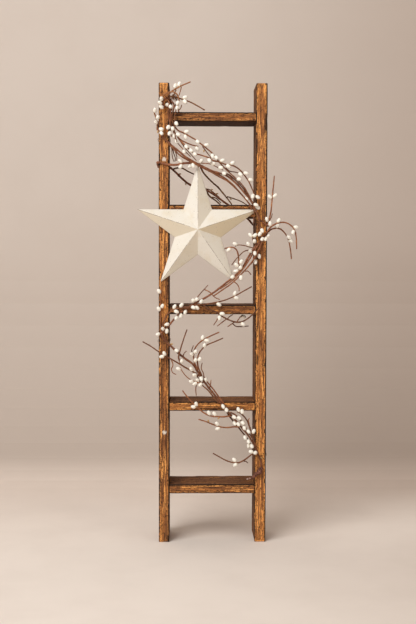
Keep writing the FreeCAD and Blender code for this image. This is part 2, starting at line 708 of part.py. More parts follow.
back_twig_pixels = [
    ("twig", "main middle", [(173, 170.3, -1), (177, 168.5, -1.7), (182, 168.6, -1.8),
        (188, 171.8, -1.8), (194, 174.6, -1.6)]),
    ("twig", "main upper", [(200, 165, 2), (203.4, 173, 0.4), (208.4, 178.8, -0.4),
        (213.4, 183.6, -0.8), (218, 187.6, -1.1), (222.5, 193, -1.6), (226.8, 198.2, -1.7),
        (231.8, 204.8, -1.8)]),
    ("twig", "main middle", [(207.5, 191.5, -1), (210, 197, -1.7), (215.5, 200.8, -1.8),
        (220.3, 205, -2)]),
    ("fine", "back 1", [(226, 197.6, -1.7), (234, 199, -1.9), (241, 201.6, -1.9), (247, 205.4, -1.7)]),
    ("fine", "main middle", [(204, 190, -1), (209, 189.8, -1.8), (214, 193.2, -1.9),
        (219.4, 197.8, -1.8)]),
    ("fine", "back 2", [(211.5, 198.2, -1.7), (216, 198.6, -2.4), (221, 203.4, -2.6)]),
]

right_twig_pixels = [
    ("twig", "main upper", [(266.4, 225.6, 1), (269.2, 219, 1.1), (270.8, 212, 1.2), (271.6, 204, 1.1),
        (272.4, 195, 1), (273.3, 186, 1), (274.2, 176, 0.9)]),
    ("fine", "right 0", [(268.6, 222, 0.8), (270.9, 218.6, 0.6), (272.4, 213.6, 0.6)]),
    ("twig", "main middle", [(263.5, 236.8, 1), (267.4, 231.6, 1.9), (271, 226.9, 2), (276, 223.8, 2),
        (281.5, 222.5, 1.8), (286.5, 223, 1.8), (290.5, 225.2, 1.8), (293.8, 228.8, 1.7),
        (295.7, 234.2, 1.6), (296.4, 241.2, 1.5), (296.6, 249.2, 1.4)]),
    ("twig", "main middle", [(267.2, 233.5, 0), (271.6, 229, 0.6), (277, 228.2, 0.5), (281.6, 230, 0.4),
        (285.6, 234.4, 0.4), (288.4, 239.8, 0.3), (289.8, 246, 0.3), (290.8, 252.6, 0.3),
        (291.4, 259.2, 0.3)]),
    ("fine", "main upper", [(253.6, 206.4, 2.3), (254, 212, 1.9), (253.8, 218, 1.9),
        (253.6, 223.6, 1.8)]),
    ("fine", "main middle", [(256.6, 246, 1.4), (253.8, 243, 2.2), (252.5, 239, 2.2),
        (252.6, 235, 2.2)]),
    ("twig", "main upper", [(254.2, 207.4, 2.3), (256, 212, 3.4), (257.8, 217, 3.3),
        (259.9, 223.4, 2.8), (261.4, 229.8, 2.5), (262.4, 235, 2.5)]),
]

middle_twig_pixels = [
    ("fine", "main middle", [(254, 249, 1.8), (248.2, 246.8, 2.7), (243, 245.5, 3), (238.4, 245.2, 3.6),
        (235, 246.6, 4)]),
    ("fine", "main middle", [(251.5, 252.5, 2), (247.6, 250.5, 2.9), (243.2, 252.2, 3.4),
        (239, 256.2, 3.9), (235.2, 260.3, 3.2), (231.6, 265.4, 2.8)]),
    ("twig", "main middle", [(240.5, 270.5, 2.2), (238.7, 264, 3), (238.5, 257.4, 3), (237.2, 251.4, 3),
        (234.2, 247.6, 3), (230.2, 247.6, 2.9), (224.4, 248.7, 2.7)]),
    ("twig", "main middle", [(261.5, 240.5, 1.2), (258.3, 250.4, 2.2), (254.2, 258.6, 2.9),
        (248.6, 266.2, 3), (242.6, 272.8, 3.2), (236.4, 279.2, 3.5), (230, 284.8, 3.7),
        (222, 290.4, 3.5), (213.5, 296.2, 3.2)]),
    ("twig", "main middle", [(164, 330, 1), (162.8, 325.4, 2), (164.8, 319.4, 2.1), (168, 314.4, 2.3),
        (172.4, 310.4, 2.5), (178, 308.6, 2.8), (184.5, 307.6, 3), (191.5, 306.4, 3), (199, 305.2, 3),
        (208, 304, 2.8), (219, 302, 2.6), (227, 299.6, 2.4), (234.8, 296.2, 2.4), (243, 291.6, 2.2),
        (251.8, 286.7, 2)]),
    ("fine", "middle 3", [(233.5, 281.4, 3.5), (236.9, 284.2, 3), (239, 288, 2.8), (239, 291.4, 3)]),
    ("fine", "main middle", [(194, 304, 1.5), (197, 298, 2.3), (201, 293, 2.6), (204.5, 289.2, 2.6),
        (208, 285.4, 2.4)]),
    ("fine", "middle 6", [(204.2, 289.4, 2.6), (210.2, 292.6, 3.7), (214.6, 297.4, 4.3),
        (219.8, 299.8, 4.2)]),
    ("twig", "middle 4", [(203.5, 305, 2.9), (209, 309.2, 2.3), (216.5, 312.6, 2), (222.5, 316.8, 1.8),
        (229.4, 320.3, 1.7), (236.3, 322.4, 1.7), (241.6, 322, 1.7), (246.8, 319.4, 1.7),
        (251.8, 315.4, 1.7), (255.5, 311.6, 1.7), (258.8, 308, 2)]),
    ("fine", "middle 8", [(226.5, 319.2, 1.7), (222.5, 322.2, 0.8), (217.3, 326.3, 0.7)]),
    ("fine", "middle 8", [(227.5, 319, 1.7), (230.4, 316.2, 0.6), (233, 314.9, 0.5)]),
    ("fine", "middle 8", [(234.5, 322.2, 1.7), (231, 324.6, 0.9), (227.7, 326.8, 0.8)]),
    ("fine", "middle 8", [(237, 322.4, 1.7), (239.7, 317.9, 0.7), (242.3, 315.1, 0.5)]),
    ("fine", "middle 11", [(231.4, 324.4, 1), (236.3, 326.6, 0.4), (242.3, 326.8, 0.1),
        (248.5, 326.2, -0.1)]),
    ("fine", "middle 8", [(219.6, 314.6, 1.9), (216.8, 320.5, 1.2), (213.5, 325.5, 1)]),
    ("fine", "middle 3", [(244.6, 271, 3.1), (247.8, 271.4, 2.2), (251, 274.8, 1.6)]),
    ("fine", "middle 3", [(259.8, 246, 1.8), (259.4, 251.6, 1), (255.8, 258.2, 1), (250.8, 264.6, 1)]),
    ("fine", "main middle", [(162.8, 332, 1), (160.6, 325.4, 1), (160.4, 316, 1), (160.9, 308.6, 1),
        (160.5, 299, 1), (161.2, 291.2, 1)]),
    ("twig", "main middle", [(258.5, 242.6, 1.3), (255.6, 248.8, 2.5), (251.2, 256.5, 3),
        (246, 264.6, 3.1), (240.6, 272, 3.3), (234.4, 278.6, 3.5), (228.4, 283.6, 3.7),
        (219.8, 289.2, 3.7)]),
]

lower_twig_pixels = [
    ("twig", "main lower", [(199.8, 375.5, 2.4), (192.4, 371.6, 3.4), (185.5, 367.8, 3.4),
        (179.4, 364, 3.2), (173.4, 360.6, 2.8), (166.5, 356.8, 2.4), (158.8, 352, 2), (151, 346.6, 2),
        (142.6, 341.8, 2)]),
    ("fine", "main lower", [(204, 382, 2.4), (199, 383, 3.2), (193, 381, 3.4), (187.6, 377.8, 3.4),
        (183, 372.6, 3.4), (179.8, 367, 3.6)]),
    ("twig", "lower 0", [(180, 364.4, 3.2), (178.6, 357.5, 3.8), (180.2, 350.4, 3.8), (182, 344.5, 3.6),
        (184.4, 337, 3.2), (187, 329.8, 3)]),
    ("twig", "main lower", [(196.8, 370.8, 2.4), (194.4, 362.5, 3.4), (193.6, 354.5, 3.4),
        (195.4, 347.8, 3.4), (199.8, 342.6, 3.3), (204.4, 339.4, 3.2), (211, 336, 3),
        (219.2, 332.4, 2.8)]),
    ("twig", "main lower", [(200.5, 376.8, 2.4), (198.4, 368, 3.4), (197.5, 360.8, 3.8),
        (198.6, 354.5, 3.8), (201.8, 349.6, 3.6), (206.3, 345.6, 3.4), (214.5, 342, 3),
        (223, 338.3, 2.8)]),
    ("fine", "lower 3", [(193.7, 355.5, 3.4), (191.7, 351, 4), (193.4, 345.6, 4)]),
    ("fine", "main lower", [(203, 380.4, 2.4), (203.3, 373.5, 3.2), (201.2, 368.4, 3.3),
        (202.2, 363, 3.3)]),
    ("fine", "lower 0", [(171.8, 359.8, 2.7), (173.4, 365, 2.2), (171.3, 369.3, 2), (172.8, 373, 2),
        (176.2, 374.6, 2)]),
    ("fine", "lower 1", [(197.5, 382.6, 3.3), (195.8, 388, 2.4), (196.2, 395.8, 1.4)]),
    ("fine", "main lower", [(209, 388, 2.2), (210.6, 384, 3.2), (211, 380, 3.3)]),
    ("twig", "main lower", [(220.5, 402.2, 1.8), (213.4, 397, 2.4), (207.6, 390, 2.7),
        (202.4, 385.4, 2.4), (198.4, 378.6, 1.8), (195.6, 372.4, 1.4)]),
    ("fine", "main lower", [(182.5, 356.8, 2), (184.2, 353.4, 2.8), (186.5, 351.2, 3)]),
    ("twig", "main lower", [(223, 405, 1.7), (218.6, 396.8, 1.9), (212.8, 388.8, 2.1),
        (206.4, 381.2, 2.3), (203.4, 376, 2)]),
]

bottom_twig_pixels = [
    ("twig", "main lower", [(231, 415.3, 1.9), (224, 416.9, 2.9), (217, 416.8, 3), (210, 415.9, 3),
        (204.6, 413.4, 2.9), (200, 409.9, 2.7), (195.5, 405.4, 2.5), (190.6, 400.8, 2.3),
        (186.3, 395.8, 2.2), (182.5, 390.6, 2.2)]),
    ("twig", "main lower", [(240.5, 426.3, 2), (234, 427, 3), (228, 427.7, 3), (221, 427.2, 3),
        (213, 424.6, 2.9), (206, 421.8, 2.7), (198.4, 419.4, 2.5)]),
    ("twig", "main lower", [(257, 451.2, 1.3), (254.6, 452.6, 1.6), (251.6, 454.8, 2.2),
        (247.4, 458, 2.5), (243, 461, 2.5), (238.2, 462.9, 2.5), (231.2, 462.3, 2.4), (224.9, 460, 2.3),
        (218.6, 456.6, 2.2), (213, 453.4, 2.1)]),
    ("twig", "main lower", [(227, 409.8, 1.6), (229.6, 416.6, 1), (235.4, 423.8, 1), (241.2, 431, 1),
        (246.6, 437.8, 1), (251, 445, 1)]),
    ("twig", "main lower", [(229.2, 413.2, 1.7), (235.4, 415.2, 2.7), (240.4, 420, 2.9),
        (244.6, 426, 2.7), (248.6, 432.6, 2.3), (253, 439.6, 2.3), (256, 446.6, 2.2)]),
    ("twig", "bottom 4", [(252, 438, 2.3), (251.4, 433, 3.2), (249.6, 427.2, 3.3), (247.2, 420.9, 3),
        (243.8, 416.4, 3), (240.4, 413.4, 2.9), (237, 411.8, 2.8)]),
    ("fine", "bottom 5", [(248.6, 424.5, 3), (248.4, 420.6, 3.8), (249.4, 418.4, 4)]),
    ("fine", "bottom 2", [(243.6, 460.8, 2.5), (246, 461.6, 3.2), (248, 463.4, 3.3)]),
]

top_berry_pixels = [
    (175.8, 86.4), (179.4, 84.4), (185.9, 98.4), (185.4, 103.4), (162.2, 99.2), (160.6, 105.6),
    (166.2, 104.6), (177.8, 109.2), (177.8, 104.6), (164.8, 112), (154, 109.4), (155.8, 121.4),
    (160.8, 117.6),
]
upper_berry_pixels = [
    (170.6, 108.4), (164.3, 129.4), (161.2, 133.4), (168.8, 129.6), (171.8, 127.6), (176.4, 125.2),
    (172.9, 133.8), (169.8, 135.4), (178.6, 136.2), (176, 140.4), (187.2, 132.6), (186, 138.4),
    (198, 143.2), (199.2, 149.8), (206.8, 146.2), (187, 148.6), (190.2, 151), (184.4, 152.8),
    (193.6, 155), (201.4, 161.6), (209.6, 161.8), (212.7, 157.4), (216.4, 159.2), (213.4, 164.2),
    (223, 160.8), (221, 168), (228.2, 167.4), (224.6, 174.4), (233.4, 163), (241.2, 175),
    (245.8, 174.4), (239, 180.4), (252.2, 180.6), (179.6, 161.6), (179.8, 167.2), (189.6, 167),
    (193.6, 166.8),
]
right_berry_pixels = [
    (252.4, 197.4), (248.2, 200.6), (254.2, 202.8), (257.4, 200.4), (258.4, 208.4), (250.6, 233.4),
    (254.4, 231.8), (261.6, 231.4), (257.4, 235.2), (265.2, 240.4), (254.4, 240.4), (262.8, 243.6),
    (268.2, 237.8), (266, 218.6), (271.4, 223.2), (269.5, 196.4), (274.8, 195.2), (278.8, 220),
    (279.2, 226), (297.4, 228.6), (293, 233), (289.8, 237), (291.6, 241.4),
]
middle_berry_pixels = [
    (247.6, 243.6), (234.4, 244.2), (228.6, 251.6), (249.6, 251.2), (254, 254.2), (259.6, 257.2),
    (257, 264), (241.8, 261.4), (236, 264.4), (240.2, 267.8), (234.8, 270.6), (234, 275.6),
    (240.2, 278.4), (175, 306), (177, 311.6), (182, 305), (184.8, 312.6), (180.6, 316.4),
    (175.8, 318.8), (166.4, 325), (163.2, 330), (157.6, 334), (168.6, 334.6), (197.2, 298.6),
    (200.8, 302), (193.4, 300.2), (197.5, 308.6), (196.4, 312.4), (219.6, 305), (234.8, 293),
    (237.4, 298.4), (219.4, 317.6), (222.4, 314), (245, 316.8), (244.4, 323.8), (160.5, 288.4),
    (162.4, 305.8), (158.8, 308.6),
]
lower_berry_pixels = [
    (202.6, 336.6), (207, 340.4), (204.6, 344.6), (191.4, 353), (195.6, 350.6), (195.8, 359),
    (200, 358.6), (177.6, 351.4), (164.2, 353), (161, 357), (182.2, 361.6), (178.2, 368),
    (190.8, 368.2), (193.6, 374), (190.4, 380), (191.8, 384.6), (197, 379.2), (199.6, 384.4),
    (200.8, 377.6), (205, 377),
]
bottom_berry_pixels = [
    (195.8, 403), (192, 407.2), (223.4, 406.6), (226.8, 410.4), (208.4, 412), (213.8, 413.2),
    (235.4, 409), (239.8, 409.2), (235, 417), (239.4, 417.8), (233.8, 422.4), (241.8, 421),
    (238.2, 424.8), (243.4, 426), (249, 430.6), (253.8, 430), (216.2, 422.8), (216.6, 429),
    (245.4, 438), (248.6, 441.8), (252.2, 445), (247.8, 447.8), (250.2, 451.4), (254.6, 452.6),
    (233.6, 459.4), (234.6, 465.6),
]
left_tie_pixels = [(164.6, 139, 1.1), (166.4, 342.2, 1)]
right_tie_pixels = [(261.4, 221.2, 1), (259, 456, 1)]
bud_pixels = [
    ("top", 156.6, 134.4), ("upper", 202.8, 153), ("back", 214, 186), ("back", 219.6, 190.4),
    ("back", 233, 197), ("back", 180.4, 171.4), ("back", 185, 183.6), ("lower", 172.6, 344.4),
    ("bottom", 208.3, 418.6), ("bottom", 218, 419), ("bottom", 262.6, 458.6),
]


def grow(rows, family, carriers):
    """Twigs of one part of the garland, each seated on the stem it names."""
    radii = {"twig": twig_radius, "fine": fine_radius}
    twigs = []
    for index, (kind, carrier, route) in enumerate(rows):
        twig = sprout(carriers[carrier], radii[kind], route)
        carriers[f"{family} {index}"] = twig
        twigs.append(twig)
    return twigs


def berries(spots, twigs, stems, others):
    """Berries at their spots, on the nearest of the given stems."""
    return [seated_berry(spot, berry_length, berry_radius, twigs, stems, others) for spot in spots]


def garland():
    """Every node of the garland: stems, twigs, berries, buds and the taped end."""
    upper = Twig(main_route(upper_stem_pixels), stem_radius)
    middle = Twig(main_route(middle_stem_pixels), stem_radius)
    lower = sprout(middle, stem_radius, lower_stem_pixels)
    carriers = {"upper": upper, "main upper": upper, "main middle": middle, "main lower": lower}
    top_twigs = grow(top_twig_pixels, "top", carriers)
    upper_twigs = grow(upper_twig_pixels, "upper", carriers)
    back_twigs = grow(back_twig_pixels, "back", carriers)
    right_twigs = grow(right_twig_pixels, "right", carriers)
    middle_twigs = grow(middle_twig_pixels, "middle", carriers)
    lower_twigs = grow(lower_twig_pixels, "lower", carriers)
    bottom_twigs = grow(bottom_twig_pixels, "bottom", carriers)
    every_twig = [upper, middle, lower] + top_twigs + upper_twigs + back_twigs + right_twigs
    every_twig += middle_twigs + lower_twigs + bottom_twigs
    stems = [(start, end, twig) for twig in every_twig for start, end in zip(twig.route, twig.route[1:])]
    others = []
    families = {"top": top_twigs + [upper], "upper": upper_twigs, "back": back_twigs + [middle],
                "lower": lower_twigs + [lower], "bottom": bottom_twigs + [lower]}
    nodes = {
        "upper_main_stem": [upper.solid()],
        "middle_main_stem": [middle.solid()],
        "lower_main_stem": [lower.solid()],
        "garland_taped_end": [wrapped_end(lower)],
        "top_twigs": [twig.solid() for twig in top_twigs],
        "upper_twigs": [twig.solid() for twig in upper_twigs],
        "back_twigs": [twig.solid() for twig in back_twigs],
        "right_twigs": [twig.solid() for twig in right_twigs],
        "middle_twigs": [twig.solid() for twig in middle_twigs],
        "lower_twigs": [twig.solid() for twig in lower_twigs],
        "bottom_twigs": [twig.solid() for twig in bottom_twigs],
        "top_berries": berries(top_berry_pixels, top_twigs + [upper], stems, others),
        "upper_berries": berries(upper_berry_pixels, upper_twigs + [upper, middle], stems, others),
        "right_berries": berries(right_berry_pixels, right_twigs + upper_twigs + [upper, middle],
                                 stems, others),
        "middle_berries": berries(middle_berry_pixels, middle_twigs + [middle], stems, others),
        "lower_berries": berries(lower_berry_pixels, lower_twigs + [lower], stems, others),
        "bottom_berries": berries(bottom_berry_pixels, bottom_twigs + [lower], stems, others),
    }
    nodes["garland_buds"] = [
        seated_berry((column, row), bud_length, bud_radius, families[family], stems, others,
                     hidden=family == "back")
        for family, column, row in bud_pixels]
    return nodes


def ties():
    """The wires that tie the main stems to the rails."""
    left = [tie(left_outer, left_inner, *spot) for spot in left_tie_pixels]
    right = [tie(right_outer, right_inner, *spot) for spot in right_tie_pixels]
    return left + right


def build():
    """All nodes of the ladder, by name, as lists of solids."""
    nodes = {"left_rail": [rail(left_outer, left_inner)], "right_rail": [rail(right_outer, right_inner)]}
    for index in range(len(rung_top_shares)):
        nodes[f"rung_{index + 1}"] = [rung(index)]
    nodes["left_rail_brads"] = brads(left_outer, 1, 0)
    nodes["right_rail_brads"] = brads(right_outer, -1, 0)
    nodes["star_shell"] = [star_shell()]
    nodes["star_hanging_wire"] = star_hanger()
    nodes["star_nail"] = [star_nail(0)]
    nodes.update(garland())
    nodes["garland_ties"] = ties()
    return nodes


def main():
    os.makedirs("parts", exist_ok=True)
    for name, solids in build().items():
        shape = solids[0] if len(solids) == 1 else Part.makeCompound(solids)
        shape.exportStep(f"parts/{name}.step")
        volume = sum(solid.Volume for solid in solids)
        print(f"{name}: {len(solids)} solids, {volume:.1f} cubic millimetres, valid {shape.isValid()}")


main()
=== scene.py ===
import random
from math import copysign, cos, exp, pi, radians, sin, sqrt

import bmesh
import bpy
from mathutils import Matrix, Vector, noise


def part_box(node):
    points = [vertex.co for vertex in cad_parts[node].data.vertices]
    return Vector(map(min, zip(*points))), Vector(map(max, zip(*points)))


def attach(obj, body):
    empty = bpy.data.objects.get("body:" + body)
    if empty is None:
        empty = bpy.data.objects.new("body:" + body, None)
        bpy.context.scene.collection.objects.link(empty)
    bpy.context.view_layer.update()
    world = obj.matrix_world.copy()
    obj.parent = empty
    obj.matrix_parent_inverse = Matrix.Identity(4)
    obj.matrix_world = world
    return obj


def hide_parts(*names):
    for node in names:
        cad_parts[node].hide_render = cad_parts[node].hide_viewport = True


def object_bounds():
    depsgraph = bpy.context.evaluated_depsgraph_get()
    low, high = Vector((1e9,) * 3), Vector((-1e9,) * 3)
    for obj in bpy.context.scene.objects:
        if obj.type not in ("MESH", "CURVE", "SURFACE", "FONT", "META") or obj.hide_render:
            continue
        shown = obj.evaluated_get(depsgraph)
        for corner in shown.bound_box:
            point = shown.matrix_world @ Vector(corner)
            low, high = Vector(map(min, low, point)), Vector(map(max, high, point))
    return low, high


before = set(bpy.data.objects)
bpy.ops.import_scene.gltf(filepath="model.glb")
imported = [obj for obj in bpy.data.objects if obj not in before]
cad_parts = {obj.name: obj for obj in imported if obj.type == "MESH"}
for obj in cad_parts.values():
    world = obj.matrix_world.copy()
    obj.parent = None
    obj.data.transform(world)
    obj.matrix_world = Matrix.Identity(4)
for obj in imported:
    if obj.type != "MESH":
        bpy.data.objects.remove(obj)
cadLow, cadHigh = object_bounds()
scene = bpy.context.scene
mm = 0.001


# small helpers

def srgb(*levels):
    # colour picked on screen, turned into Blender's linear values
    shares = [level / 255 for level in levels]
    return (*[x / 12.92 if x < 0.04045 else ((x + 0.055) / 1.055) ** 2.4 for x in shares], 1)


def smoothStep(low, high, value):
    share = min(max((value - low) / (high - low), 0), 1)
    return share * share * (3 - 2 * share)


def noiseAt(x, y, z):
    return noise.noise(Vector((x, y, z)))


def placed(name, data):
    thing = bpy.data.objects.new(name, data)
    scene.collection.objects.link(thing)
    return thing


def addPiece(mesh, node, slotName, *materials):
    for vert in mesh.vertices:  # nothing stands outside the CAD box
        vert.co = [min(max(value, low), high) for value, low, high in zip(vert.co, cadLow, cadHigh)]
    piece = placed(mesh.name, mesh)
    for material in materials:
        mesh.materials.append(material)
    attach(piece, "root")
    if node:
        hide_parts(node)
    return piece


def meshFrom(name, points, faces, values=None, smooth=True):
    # values: name -> one number for each point, read by the materials
    mesh = bpy.data.meshes.new(name)
    mesh.from_pydata(points, [], faces)
    for key, numbers in (values or {}).items():
        mesh.attributes.new(key, "FLOAT", "POINT").data.foreach_set("value", numbers)
    mesh.polygons.foreach_set("use_smooth", [smooth] * len(mesh.polygons))
    mesh.update()
    return mesh


def meshOf(name, bm):
    mesh = bpy.data.meshes.new(name)
    bm.to_mesh(mesh)
    bm.free()
    return mesh


def ringFaces(start, rings, sides):
    # four-sided faces between rings of points, and one flat face over each end
    faces = []
    for first in range(start, start + (rings - 1) * sides, sides):
        for step in range(sides):
            after = (step + 1) % sides
            faces.append((first + step, first + after, first + sides + after, first + sides + step))
    last = start + (rings - 1) * sides
    faces.append(tuple(range(start + sides - 1, start - 1, -1)))
    faces.append(tuple(range(last, last + sides)))
    return faces


# node helpers for the materials and the world

class Nodes:
    def __init__(self, holder):
        holder.use_nodes = True
        self.holder = holder
        self.tree = holder.node_tree
        self.shader = self.tree.nodes.get("Principled BSDF")
        self.base = None  # the colour so far, under the next coat

    def put(self, value, socket):
        if isinstance(value, bpy.types.NodeSocket):
            self.tree.links.new(value, socket)
        else:
            socket.default_value = value

    def add(self, kind, inputs=None, output=0, **settings):
        made = self.tree.nodes.new(kind)
        for key, value in settings.items():
            setattr(made, key, value)
        for key, value in (inputs or {}).items():
            self.put(value, made.inputs[key])
        return made.outputs if output is None else made.outputs[output]

    def noise(self, scale, detail=4.0, roughness=0.55, distortion=0.0, offset=(0, 0, 0)):
        # scale: how fine the pattern is, per metre, in one number or one for each axis
        scale = (scale,) * 3 if isinstance(scale, (int, float)) else scale
        inputs = {"Vector": self.coordinates, "Scale": scale, "Location": offset}
        vector = self.add("ShaderNodeMapping", inputs)
        inputs = {"Vector": vector, "Scale": 1.0, "Detail": detail, "Roughness": roughness,
                  "Distortion": distortion}
        return self.add("ShaderNodeTexNoise", inputs, "Fac")

    def between(self, value, low, high, lowResult=0.0, highResult=1.0):
        inputs = {"Value": value, "From Min": low, "From Max": high,
                  "To Min": lowResult, "To Max": highResult}
        return self.add("ShaderNodeMapRange", inputs, "Result", interpolation_type="SMOOTHSTEP")

    def maths(self, operation, first, second):
        return self.add("ShaderNodeMath", {0: first, 1: second}, operation=operation)

    def plus(self, first, second):
        return self.maths("ADD", first, second)

    def times(self, first, second):
        return self.maths("MULTIPLY", first, second)

    def mix(self, share, first, second, blend="MIX"):
        inputs = {0: share, 6: first, 7: second}
        return self.add("ShaderNodeMix", inputs, 2, data_type="RGBA", blend_type=blend)

    def cover(self, share, colour, blend="MIX"):
        self.base = self.mix(share, self.base, colour, blend)

    def coat(self, value, limits, colour):
        # limits, as in the dictionaries: from, to, and the shares before and after
        self.cover(self.between(value, *limits), colour)

    def value(self, name):
        return self.add("ShaderNodeAttribute", output="Fac", attribute_name=name)

    def mixShaders(self, share, first, second):
        return self.add("ShaderNodeMixShader", {0: share, 1: first, 2: second})

    def seenRays(self):
        # 1 for what the camera, metal and glass see, 0 for light on its way to a surface
        rays = self.add("ShaderNodeLightPath", output=None)
        mirrored = self.maths("MAXIMUM", rays["Is Glossy Ray"], rays["Is Transmission Ray"])
        return self.maths("MAXIMUM", rays["Is Camera Ray"], mirrored)

    def bump(self, height, strength, distance):
        made = self.add("ShaderNodeBump", {"Height": height, "Strength": strength, "Distance": distance})
        self.put(made, self.shader.inputs["Normal"])

    def finish(self, roughness, specular=0.5, metallic=0.0):
        self.put(self.base, self.shader.inputs["Base Color"])
        self.put(roughness, self.shader.inputs["Roughness"])
        self.shader.inputs["Specular IOR Level"].default_value = specular
        self.shader.inputs["Metallic"].default_value = metallic
        return self.holder

    def surface(self, shader):
        self.put(shader, self.tree.get_output_node("ALL").inputs["Surface"])


def newMaterial(name):
    nodes = Nodes(bpy.data.materials.new(name))
    nodes.coordinates = nodes.add("ShaderNodeTexCoord", output="Object")
    return nodes


# boards: worn, wavy edges, shallow gouges, nail and worm holes

boardLook = {
    "step": 2.6 * mm,  # mesh spacing along and across a board
    "edgeRadius": 1.4 * mm,  # usual rounding of the long edges
    "edgeSwing": 0.8 * mm,  # how much the rounding comes and goes
    "leastRadius": 0.8 * mm,
    "swings": 26,  # per metre
    "chip": 1.6 * mm,  # extra where an edge is chipped
    "chips": 60,  # per metre
    "chipFrom": (0.28, 0.5),
    "sag": 0.3 * mm,  # hollows planed and rubbed into the faces
    "sags": 30,  # per metre
    "gouge": 0.8 * mm,
    "gouges": (22, 160),  # per metre along and across
    "gougeFrom": (0.38, 0.62),
    "endSteps": (0, 0.35 * mm, 0.9 * mm, 1.6 * mm),  # the last is the rounding of the ends
    "squareness": 12,  # high: hollows go straight in from a face
    "cornerSteps": 5,
    "wormHoles": 34,  # in a board of wormSpan
    "wormSpan": 914 * mm,
    "wormRadius": 0.55 * mm,
    "wormDepth": 2.2 * mm,
    "wormMargin": 3.5 * mm,
    "wormEndMargin": 14 * mm,
    "holeSides": 8,
    "rimWidth": 2.6 * mm,  # how far the rubbed line runs in from an edge
    "shadeAndStainLine": 1.45,
    "lightLine": 0.85,
    "endLine": 2 * mm,
    "borderWidth": 8 * mm,
    "faceDepth": (0.8 * mm, 2.0 * mm),  # where the front and the underside end
}

# node, long axis, seed, slot, how far its front is rubbed back, how far its other faces are
boardList = [
    ("left_rail", 2, 3, "rail_wood", 0.55, 0.15),
    ("right_rail", 2, 11, "rail_wood", 0.78, 0.15),
    ("rung_1", 0, 25, "rung_wood", 0.5, 0.0),
    ("rung_2", 0, 30, "rung_wood", 0.3, 0.0),
    ("rung_3", 0, 35, "rung_wood", 0.4, 0.0),
    ("rung_4", 0, 40, "rung_wood", 0.62, 0.25),
    ("rung_5", 0, 45, "rung_wood", 0.5, 0.25),
]


def boardSection(low, high, radii):
    # closed loop of (v, w, edge): four rounded corners and the straight faces between
    look = boardLook
    corners = [(high[0], high[1]), (low[0], high[1]), (low[0], low[1]), (high[0], low[1])]
    spans = [high[0] - low[0], high[1] - low[1]] * 2
    arcs = []
    for quarter, ((v, w), radius) in enumerate(zip(corners, radii)):
        centre = (v - copysign(radius, v - (low[0] + high[0]) / 2),
                  w - copysign(radius, w - (low[1] + high[1]) / 2))
        arc = []
        for step in range(look["cornerSteps"]):
            turn = (quarter + step / (look["cornerSteps"] - 1)) * pi / 2
            arc.append((centre[0] + radius * cos(turn), centre[1] + radius * sin(turn), 1.0))
        arcs.append(arc)
    loop = []
    for index, arc in enumerate(arcs):
        loop += arc
        start, end = arc[-1], arcs[(index + 1) % 4][0]
        count = max(2, round(spans[index] / look["step"]))
        for step in range(1, count):
            share = step / count
            edge = max(0, 1 - min(share, 1 - share) * spans[index] / look["borderWidth"])
            loop.append((start[0] + (end[0] - start[0]) * share,
                         start[1] + (end[1] - start[1]) * share, edge))
    return loop


def cornerRadii(station, seed):
    # how round the four long edges are at one place along a board
    look = boardLook
    radii = []
    for corner in range(4):
        place = Vector((station * look["swings"], corner * 7.1, seed))
        swing = noise.noise(place) + 0.5 * noise.noise(place * 3.7)
        chipping = noiseAt(station * look["chips"], corner * 3.3 + 50, seed)
        radii.append(max(look["leastRadius"], look["edgeRadius"] + look["edgeSwing"] * swing
                         + look["chip"] * smoothStep(*look["chipFrom"], chipping)))
    return radii


